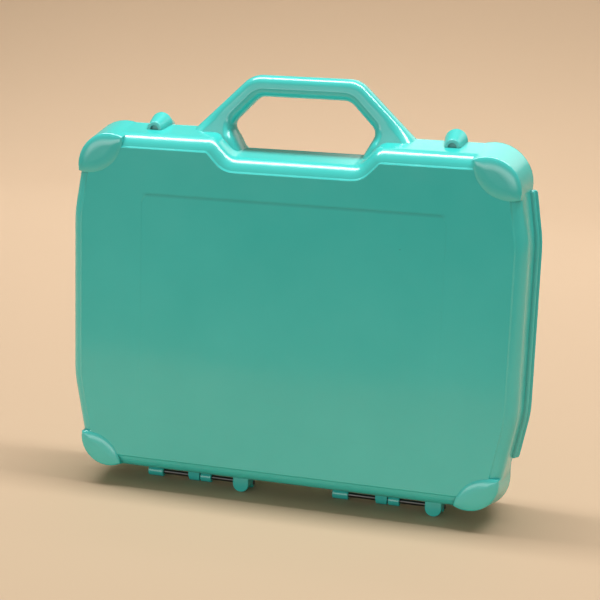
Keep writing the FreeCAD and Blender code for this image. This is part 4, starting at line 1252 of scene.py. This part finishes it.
def plate_outline():
    """The outline of a grid plate, which follows the sides of the case."""
    size = settings().shell
    grid = settings().grid
    inwards = size.half_width - grid.half
    foot, head = grid.low + grid.cut, grid.high - grid.cut
    return mirrored_outline([
        Corner(Vector((grid.half - grid.cut - grid.foot_cut, grid.low)), grid.corner_round, 4),
        Corner(Vector((side_at(foot, 0) - inwards, foot)), grid.corner_round, 4),
        Corner(Vector((grid.half, size.kink_low)), size.kink_round, 4),
        Corner(Vector((grid.half, size.kink_high)), size.kink_round, 4),
        Corner(Vector((side_at(head, 0) - inwards, head)), grid.corner_round, 4),
        Corner(Vector((grid.half - grid.cut, grid.high)), grid.corner_round, 4),
    ])


def cover_rail(side):
    """One of the two rails that the bin cover slides in: 1 for the right one and -1 for the left."""
    grid = settings().grid
    foot = -grid.depth - 2 * grid.edge
    under = -grid.depth + grid.rail_rise
    over = under + grid.rail_lip_thick
    inside = grid.rail_inside
    wall = inside + grid.rail_wall
    lip = inside - grid.rail_lip
    section = [(wall, foot), (wall, over), (lip, over), (lip, under), (inside, under), (inside, foot)]
    corners = [Corner(Vector((grid.bin_x + side * x, y)), grid.edge, 3) for x, y in section[::side]]
    soft = grid.edge / 2
    low, high = grid.rail_low, grid.rail_high
    stages = ((low, soft), (low + soft, 0), (high - soft, 0), (high, soft))
    return loft("rail", [level(flat_ring(corners, inset), height) for height, inset in stages])


def cover_stop(middle):
    """A low bar across the plate where the bin cover stops."""
    grid = settings().grid
    corners = box_corners(Vector((grid.bin_x, middle)), grid.rail_inside + grid.rail_wall / 2,
                          grid.rail_wall / 2 - STOP_CLEAR * grid.edge, grid.edge)
    rise = grid.rail_rise + grid.edge
    return soft_slab("stop", corners, grid.depth + 2 * grid.edge, grid.depth - rise, grid.edge)


def peg_holes():
    """Cutters for the field of peg holes, each with a bevelled mouth."""
    grid = settings().grid
    start = Vector((grid.first_x, grid.first_z))
    mouth = grid.depth + grid.hole_sink
    wide = 2 * grid.hole_sink
    holes = loft("peg_holes", [
        upright(circle(start, grid.hole_round, HOLE_SIDES), grid.depth + 2 * grid.thick),
        upright(circle(start, grid.hole_round, HOLE_SIDES), mouth),
        upright(circle(start, grid.hole_round + wide, HOLE_SIDES), mouth - wide),
    ])
    repeated(holes, GRID_COUNT, (grid.pitch, 0, 0))
    repeated(holes, GRID_COUNT, (0, 0, grid.pitch))
    return holes


def model_grid(name):
    """The front grid plate with its peg bin and the rails of the bin cover."""
    grid = settings().grid
    under = grid.depth + grid.thick
    plate = soft_slab(name, plate_outline(), under, grid.depth, grid.edge)
    middle = Vector((grid.bin_x, (grid.bin_low + grid.bin_high) / 2))
    tall = (grid.bin_high - grid.bin_low) / 2
    outside = box_corners(middle, grid.bin_half + grid.bin_wall, tall + grid.bin_wall, grid.bin_round)
    combine(plate, "UNION", [
        soft_slab("bin", outside, grid.bin_under, grid.depth + grid.edge, grid.edge),
        cover_rail(1),
        cover_rail(-1),
        cover_stop(grid.rail_low + grid.rail_wall / 2),
        cover_stop(grid.rail_high - grid.rail_wall / 2),
    ])
    inside = box_corners(middle, grid.bin_half, tall, grid.bin_round - grid.bin_wall)
    floor = grid.bin_under - grid.bin_wall
    hollow = loft("bin_hollow", [
        upright(flat_ring(inside, grid.edge), floor),
        upright(flat_ring(inside), floor - grid.edge),
        upright(flat_ring(inside), grid.depth - grid.thick),
    ])
    screws = screw_columns("screw_holes", grid.screw_hole, under + grid.thick, grid.depth - grid.thick)
    combine(plate, "DIFFERENCE", [hollow, peg_holes(), screws])
    smooth(plate)
    return plate


class FLEETCASE_OT_grids(bpy.types.Operator):
    """Models the front grid plate and turns a copy of it round for the rear one"""

    bl_idname = "fleet_case.grids"
    bl_label = "Grid plates"

    def execute(self, context):
        material = grid_plastic()
        front = model_grid("target_plate")
        rear = copied(front, "ocean_plate", HALF_TURN)
        dress(front, material, "lid", "grid", "target_grid")
        dress(rear, material, "base", "grid", "ocean_grid")
        return {"FINISHED"}


def model_cover(name):
    """The front bin cover with its finger ridges."""
    grid = settings().grid
    loose = settings().loose
    seat = grid.depth - loose.cover_seat
    top = seat - loose.cover_thick
    middle = Vector((grid.bin_x, (loose.cover_low + loose.cover_high) / 2))
    tall = loose.cover_high - loose.cover_low
    corners = box_corners(middle, loose.cover_half, tall / 2, loose.cover_round)
    cover = soft_slab(name, corners, seat, top, grid.edge)
    ridges = []
    for index in range(RIDGE_COUNT):
        place = Vector((grid.bin_x, loose.ridge_low + index * loose.ridge_step + loose.ridge_thick / 2))
        bar = box_corners(place, loose.ridge_half, loose.ridge_thick / 2, RIDGE_ROUND * loose.ridge_thick)
        ridges.append(soft_slab("ridge", bar, top + 2 * grid.edge, top - loose.ridge_rise, grid.edge))
    combine(cover, "UNION", ridges)
    smooth(cover)
    return cover


class FLEETCASE_OT_covers(bpy.types.Operator):
    """Models the front bin cover and turns a copy of it round for the rear one"""

    bl_idname = "fleet_case.covers"
    bl_label = "Bin covers"

    def execute(self, context):
        material = moulded("cover_plastic", settings().colours.cover, 0.3)
        front = model_cover("front_slide")
        rear = copied(front, "rear_slide", HALF_TURN)
        dress(front, material, "front_cover", "cover", "front_bin_cover")
        dress(rear, material, "rear_cover", "cover", "rear_bin_cover")
        return {"FINISHED"}


def model_screw():
    """A pan-head screw with a cross recess; its head rests at y = 0 and its shank runs to the front."""
    loose = settings().loose
    tip = loose.shank_length
    dome = [(loose.head_round * share, -loose.head_high * rise) for share, rise in HEAD_PROFILE]
    screw = turned_solid("screw", [
        (loose.shank_round * SCREW_TIP, tip),
        (loose.shank_round, tip - loose.shank_round),
        (loose.shank_round, 0),
    ] + dome, SCREW_SIDES)
    bar = box_corners(Vector((0, 0)), loose.recess_half, loose.recess_slot, SCREW_RECESS_ROUND)
    slot = loft("slot", [
        upright(flat_ring(bar, loose.recess_slot / 2), loose.recess_deep - loose.head_high),
        upright(flat_ring(bar), -SCREW_RECESS_OVER * loose.head_high),
    ])
    other = copied(slot, "slot_across", Matrix.Rotation(QUARTER, 4, "Y"))
    combine(screw, "DIFFERENCE", [slot, other])
    smooth(screw)
    return screw


class FLEETCASE_OT_screws(bpy.types.Operator):
    """Models one screw and places it at every screw of the two grid plates"""

    bl_idname = "fleet_case.screws"
    bl_label = "Grid screws"

    def execute(self, context):
        material = drawn_steel("screw_steel", settings().colours.steel)
        model = model_screw()
        front = scattered("front_screws", model, places_of("front_grid_screws"))
        rear = copied(front, "rear_screws", HALF_TURN)
        bpy.data.objects.remove(model)
        dress(front, material, "lid", "screw", "front_grid_screws")
        dress(rear, material, "base", "screw", "rear_grid_screws")
        return {"FINISHED"}


def model_peg():
    """A peg with a domed head; its head rests at y = 0 and its shaft runs to the front."""
    loose = settings().loose
    shaft = [(loose.peg_round * share, loose.peg_shaft * run) for share, run in PEG_SHAFT_PROFILE]
    head = [(loose.peg_head_round * share, -loose.peg_head * rise) for share, rise in PEG_HEAD_PROFILE]
    peg = turned_solid("peg", shaft + head, PEG_SIDES)
    smooth(peg)
    return peg


class FLEETCASE_OT_pegs(bpy.types.Operator):
    """Models one peg and places it at every peg in the grids and in the bins"""

    bl_idname = "fleet_case.pegs"
    bl_label = "Pegs"

    def execute(self, context):
        colours = settings().colours
        loose = settings().loose
        red = moulded("hit_plastic", colours.hit, 0.22)
        white = moulded("miss_plastic", colours.miss, 0.25)
        model = model_peg()
        for node, name, material, slot in (("hit_pegs", "target_hits", red, "hit_peg"),
                                           ("miss_pegs", "target_misses", white, "miss_peg")):
            dress(scattered(name, model, places_of(node)), material, "lid", slot, node)
        lying = Matrix.Rotation(-QUARTER, 4, "Z")
        places = []
        for low, high in solids_of("spare_miss_pegs"):
            place = (low.x + loose.peg_shaft, (low.y + high.y) / 2, low.z + loose.peg_head_round)
            places.append(Matrix.Translation(place) @ lying)
        front = scattered("bin_misses", model, places)
        rear = copied(front, "bin_hits", HALF_TURN)
        bpy.data.objects.remove(model)
        dress(front, white, "lid", "miss_peg", "spare_miss_pegs")
        dress(rear, red, "base", "hit_peg", "spare_hit_pegs")
        return {"FINISHED"}


# Ships

def ship_outline(holes):
    """The deck line of a ship over a number of holes, with its bow to the right."""
    ship = settings().ship
    pitch = settings().grid.pitch
    stern = ship.end - pitch / 2
    bow = (holes - 0.5) * pitch - ship.end
    right = [
        Corner(Vector((stern, -ship.stern_half)), 0.4 * ship.stern_half, 4),
        Corner(Vector((stern + ship.end, -ship.half)), ship.half, 4),
        Corner(Vector((bow - ship.bow_taper, -ship.half)), 4 * ship.half, 5),
        Corner(Vector((bow - ship.bow_run, -ship.bow_half)), 2 * ship.half, 5),
    ]
    left = [corner._replace(at=Vector((corner.at.x, -corner.at.y))) for corner in reversed(right)]
    return right + [Corner(Vector((bow, 0)), 0.1 * ship.half, 4)] + left


def deck_block(start, end, half, low, rise, aside=0.0):
    """A box with softened edges on a ship's deck."""
    soft = DECK_SOFT * half
    corners = box_corners(Vector(((start + end) / 2, aside)), (end - start) / 2, half, 2 * soft)
    return soft_slab("deck_block", corners, low + rise, low - 2 * soft, soft)


def gun_turret(place, aim):
    """A round turret with a barrel that points along the ship."""
    ship = settings().ship
    soft = DECK_SOFT * ship.turret_round
    top = ship.turret_high
    stages = ((-soft, 0), (top - 2 * soft, 0), (top - soft / 2, soft / 2), (top, 2 * soft))
    middle = Vector((place, 0))
    drum = loft("turret", [
        upright(circle(middle, ship.turret_round - inset, TURRET_SIDES), ship.hull + rise)
        for rise, inset in stages])
    height = ship.hull + ship.turret_high / 3 + ship.barrel_round
    start, end = sorted((place, place + aim * ship.barrel_reach))
    barrel = round_bar("barrel", Vector((-height, 0)), ship.barrel_round, start, end, GUN_SOFT, GUN_SIDES)
    return [drum, barrel]


def carrier_deck(holes):
    """A flat flight deck with an island on one edge."""
    ship = settings().ship
    pitch = settings().grid.pitch
    deck = box_corners(Vector((((holes - 1.25) * pitch - ship.end) / 2, 0)),
                       ((holes - 0.75) * pitch - ship.end) / 2, ship.deck_half,
                       FLIGHT_DECK_ROUND * ship.deck_half)
    edge = FLIGHT_DECK_SOFT * ship.deck_thick
    return [
        soft_slab("flight_deck", deck, ship.hull + ship.deck_thick, ship.hull - 2 * edge, edge),
        deck_block(ship.island_start, ship.island_end, (ship.island_far - ship.island_near) / 2,
                   ship.hull + ship.deck_thick, ship.house_high, (ship.island_near + ship.island_far) / 2),
    ]


def gunship_deck(holes):
    """A stepped deckhouse between two holes, a turret ahead of it and, on a long ship, one astern."""
    ship = settings().ship
    pitch = settings().grid.pitch
    gap = holes - 3
    middle = (gap + 0.5) * pitch
    parts = [
        deck_block(middle - ship.house_length / 2, middle + ship.house_length / 2, ship.house_half,
                   ship.hull, ship.house_high),
        deck_block(middle - ship.bridge_length / 2, middle + ship.bridge_length / 2, ship.bridge_half,
                   ship.hull + ship.house_high, ship.bridge_high),
    ]
    parts += gun_turret((gap + 1.5) * pitch, 1)
    if gap > 0:
        parts += gun_turret((gap - 0.5) * pitch, -1)
    return parts


def patrol_deck(holes):
    """A small wheelhouse between the two holes, with a step before it."""
    ship = settings().ship
    return [
        deck_block(ship.wheelhouse_start, ship.wheelhouse_end, ship.house_half,
                   ship.hull, ship.house_high + ship.bridge_high),
        deck_block(ship.wheelhouse_end - STEP_LAP, ship.wheelhouse_step, ship.bridge_half,
                   ship.hull, ship.casing_high),
    ]


def submarine_deck(holes):
    """A long casing with a tall narrow sail."""
    ship = settings().ship
    pitch = settings().grid.pitch
    return [
        deck_block(-pitch / 4, (holes - 1) * pitch, ship.casing_half, ship.hull, ship.casing_high),
        deck_block(ship.sail_start, ship.sail_end, ship.sail_half,
                   ship.hull + ship.casing_high, ship.sail_high),
    ]


def model_ship(name, node, deck):
    """A ship at the place and with the number of holes of its CAD node."""
    ship = settings().ship
    grid = settings().grid
    loose = settings().loose
    low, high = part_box(node)
    size = high - low
    holes = round((max(size.x, size.z) + 2 * ship.end) / grid.pitch)
    outline = ship_outline(holes)
    hull = loft(name, [upright(flat_ring(outline, share * ship.flare), rise * ship.hull)
                       for rise, share in HULL_PROFILE])
    soft = PLUG_SOFT * loose.peg_round
    stages = ((ship.hull / 2, 0), (soft - ship.plug, 0), (-ship.plug, soft))
    plugs = []
    for place in (0, (holes - 1) * grid.pitch):
        middle = Vector((place, 0))
        plugs.append(loft("plug", [upright(circle(middle, loose.peg_round - inset, HOLE_SIDES), rise)
                                   for rise, inset in stages]))
    combine(hull, "UNION", deck(holes) + plugs)
    socket = circle(Vector((0, 0)), grid.hole_round, HOLE_SIDES)
    sockets = loft("sockets", [
        upright(socket, ship.hull + ship.house_high),
        upright(socket, ship.socket_floor),
    ])
    repeated(sockets, holes, (grid.pitch, 0, 0))
    combine(hull, "DIFFERENCE", [sockets])
    smooth(hull)
    stern = grid.pitch / 2 - ship.end
    if size.z > size.x:
        place = Matrix.Translation(((low.x + high.x) / 2, grid.depth, low.z + stern))
        hull.data.transform(place @ Matrix.Rotation(-QUARTER, 4, "Y"))
    else:
        hull.data.transform(Matrix.Translation((low.x + stern, grid.depth, (low.z + high.z) / 2)))
    return hull


class FLEETCASE_OT_ships(bpy.types.Operator):
    """Models the five ships where they are plugged into the rear grid plate"""

    bl_idname = "fleet_case.ships"
    bl_label = "Ships"

    def execute(self, context):
        material = moulded("ship_plastic", settings().colours.ship, 0.38)
        for node, name, deck in (
            ("ship_of_five", "carrier", carrier_deck),
            ("ship_of_four", "battleship", gunship_deck),
            ("ship_of_three", "cruiser", gunship_deck),
            ("submarine", "submarine_model", submarine_deck),
            ("patrol_boat", "patrol_model", patrol_deck),
        ):
            dress(model_ship(name, node, deck), material, "base", "ship", node)
        return {"FINISHED"}


# Stage

def backdrop_paper():
    """Seamless pale paper that ends in front of the case, on a darker table."""
    colours = settings().colours
    material, tree, shader = new_material("backdrop_paper")
    place = object_place(tree)
    mottled = blend(tree, noise(tree, place, scale=3, detail=2), opaque(colours.backdrop),
                    opaque(colours.backdrop, 0.97))
    axes = axes_of(tree, place)
    faded = calculate(tree, "ADD", remap(tree, axes["Y"], 3 * PAPER_EDGE, PAPER_EDGE, 0, 0.4),
                      remap(tree, axes["X"], PAPER_EDGE, 1.6 * PAPER_EDGE, 0, 0.3))
    behind = remap(tree, axes["Y"], PAPER_EDGE - PAPER_SOFT, PAPER_EDGE + PAPER_SOFT)
    paper = calculate(tree, "MAXIMUM", faded, behind)
    tone = blend(tree, paper, opaque(colours.table), mottled)
    tree.links.new(tone, shader.inputs["Base Color"])
    shader.inputs["Roughness"].default_value = 0.9
    shader.inputs["Specular IOR Level"].default_value = 0.2
    normal = add_node(tree, "ShaderNodeNewGeometry").outputs["True Normal"]
    facing = axes_of(tree, normal)["Z"]
    clear = add_node(tree, "ShaderNodeBsdfTransparent").outputs["BSDF"]
    mixed = add_node(tree, "ShaderNodeMixShader", {
        0: remap(tree, facing, -0.6, -0.4, 1, 0), 1: shader.outputs["BSDF"], 2: clear})
    tree.links.new(mixed.outputs["Shader"], tree.nodes["Material Output"].inputs["Surface"])
    return material


def hang_lamp(lamp):
    """A soft rectangular lamp at a place, aimed at a point, whose light keeps within an angle."""
    bpy.ops.object.select_all(action="DESELECT")
    bpy.ops.object.light_add(type="AREA", location=lamp.place)
    light = bpy.context.object
    light.name = lamp.name
    light.data.shape = "RECTANGLE"
    light.data.size, light.data.size_y = lamp.size
    light.data.energy = lamp.power
    light.data.color = lamp.tint
    light.data.spread = math.radians(lamp.spread)
    light.rotation_euler = (Vector(lamp.aim) - Vector(lamp.place)).to_track_quat("-Z", "Y").to_euler()
    light.visible_camera = False
    light.visible_diffuse = lamp.diffuse


class FLEETCASE_OT_stage(bpy.types.Operator):
    """Lays the backdrop, hangs the lamps and sets up the camera"""

    bl_idname = "fleet_case.stage"
    bl_label = "Stage"

    def execute(self, context):
        stage = settings().stage
        profile = [Vector((PAPER_FRONT, 0)), Vector((PAPER_BEND, 0))]
        for step in range(1, PAPER_BEND_STEPS + 1):
            angle = QUARTER * step / PAPER_BEND_STEPS
            profile.append(Vector((PAPER_BEND + PAPER_BEND_ROUND * math.sin(angle),
                                   PAPER_BEND_ROUND * (1 - math.cos(angle)))))
        profile.append(Vector((PAPER_BEND + PAPER_BEND_ROUND, PAPER_TOP)))
        back = [point + Vector((PAPER_THICK, -PAPER_THICK)) for point in reversed(profile)]
        ring = profile + back
        sweep = loft("backdrop", [sideways(ring, -PAPER_HALF), sideways(ring, PAPER_HALF)])
        sweep.data.materials.append(backdrop_paper())
        smooth(sweep, PAPER_SMOOTH)

        for lamp in LAMPS:
            hang_lamp(lamp)

        bpy.ops.object.camera_add(location=(stage.camera_x, stage.camera_y, stage.camera_z))
        camera = bpy.context.object
        camera.name = "photo_camera"
        turn = (Matrix.Rotation(stage.azimuth, 3, "Z") @ Matrix.Rotation(QUARTER - stage.elevation, 3, "X")
                @ Matrix.Rotation(stage.roll, 3, "Z"))
        camera.rotation_euler = turn.to_euler()
        camera.data.lens = stage.lens
        camera.data.sensor_width = SENSOR_WIDTH
        camera.data.clip_start = CLIP_START
        context.scene.camera = camera

        world = bpy.data.worlds.new("soft_room")
        world.use_nodes = True
        sky = world.node_tree.nodes["Background"]
        sky.inputs["Color"].default_value = opaque(ROOM_LIGHT)
        sky.inputs["Strength"].default_value = 1.0
        context.scene.world = world
        context.scene.view_settings.view_transform = "Standard"
        return {"FINISHED"}


class FLEETCASE_PT_panel(bpy.types.Panel):
    """Lists the steps that build the case"""

    bl_label = "Fleet Case"
    bl_idname = "FLEETCASE_PT_panel"
    bl_space_type = "VIEW_3D"
    bl_region_type = "UI"
    bl_category = "Fleet Case"

    def draw(self, context):
        for step in STEPS:
            self.layout.operator(step.bl_idname)


STEPS = (
    FLEETCASE_OT_shells,
    FLEETCASE_OT_hinge_pins,
    FLEETCASE_OT_grids,
    FLEETCASE_OT_covers,
    FLEETCASE_OT_screws,
    FLEETCASE_OT_pegs,
    FLEETCASE_OT_ships,
    FLEETCASE_OT_stage,
)
GROUPS = (ShellSizes, FittingSizes, GridSizes, LooseSizes, ShipSizes, CaseColours, StageSettings,
          FleetCaseSettings)


def register():
    for item in GROUPS + STEPS + (FLEETCASE_PT_panel,):
        bpy.utils.register_class(item)
    bpy.types.Scene.fleet_case = PointerProperty(type=FleetCaseSettings)


def unregister():
    del bpy.types.Scene.fleet_case
    for item in reversed(GROUPS + STEPS + (FLEETCASE_PT_panel,)):
        bpy.utils.unregister_class(item)


def main():
    """Builds every piece in order."""
    register()
    for step in STEPS:
        group, name = step.bl_idname.split(".")
        getattr(getattr(bpy.ops, group), name)()


if __name__ == "__main__":
    main()
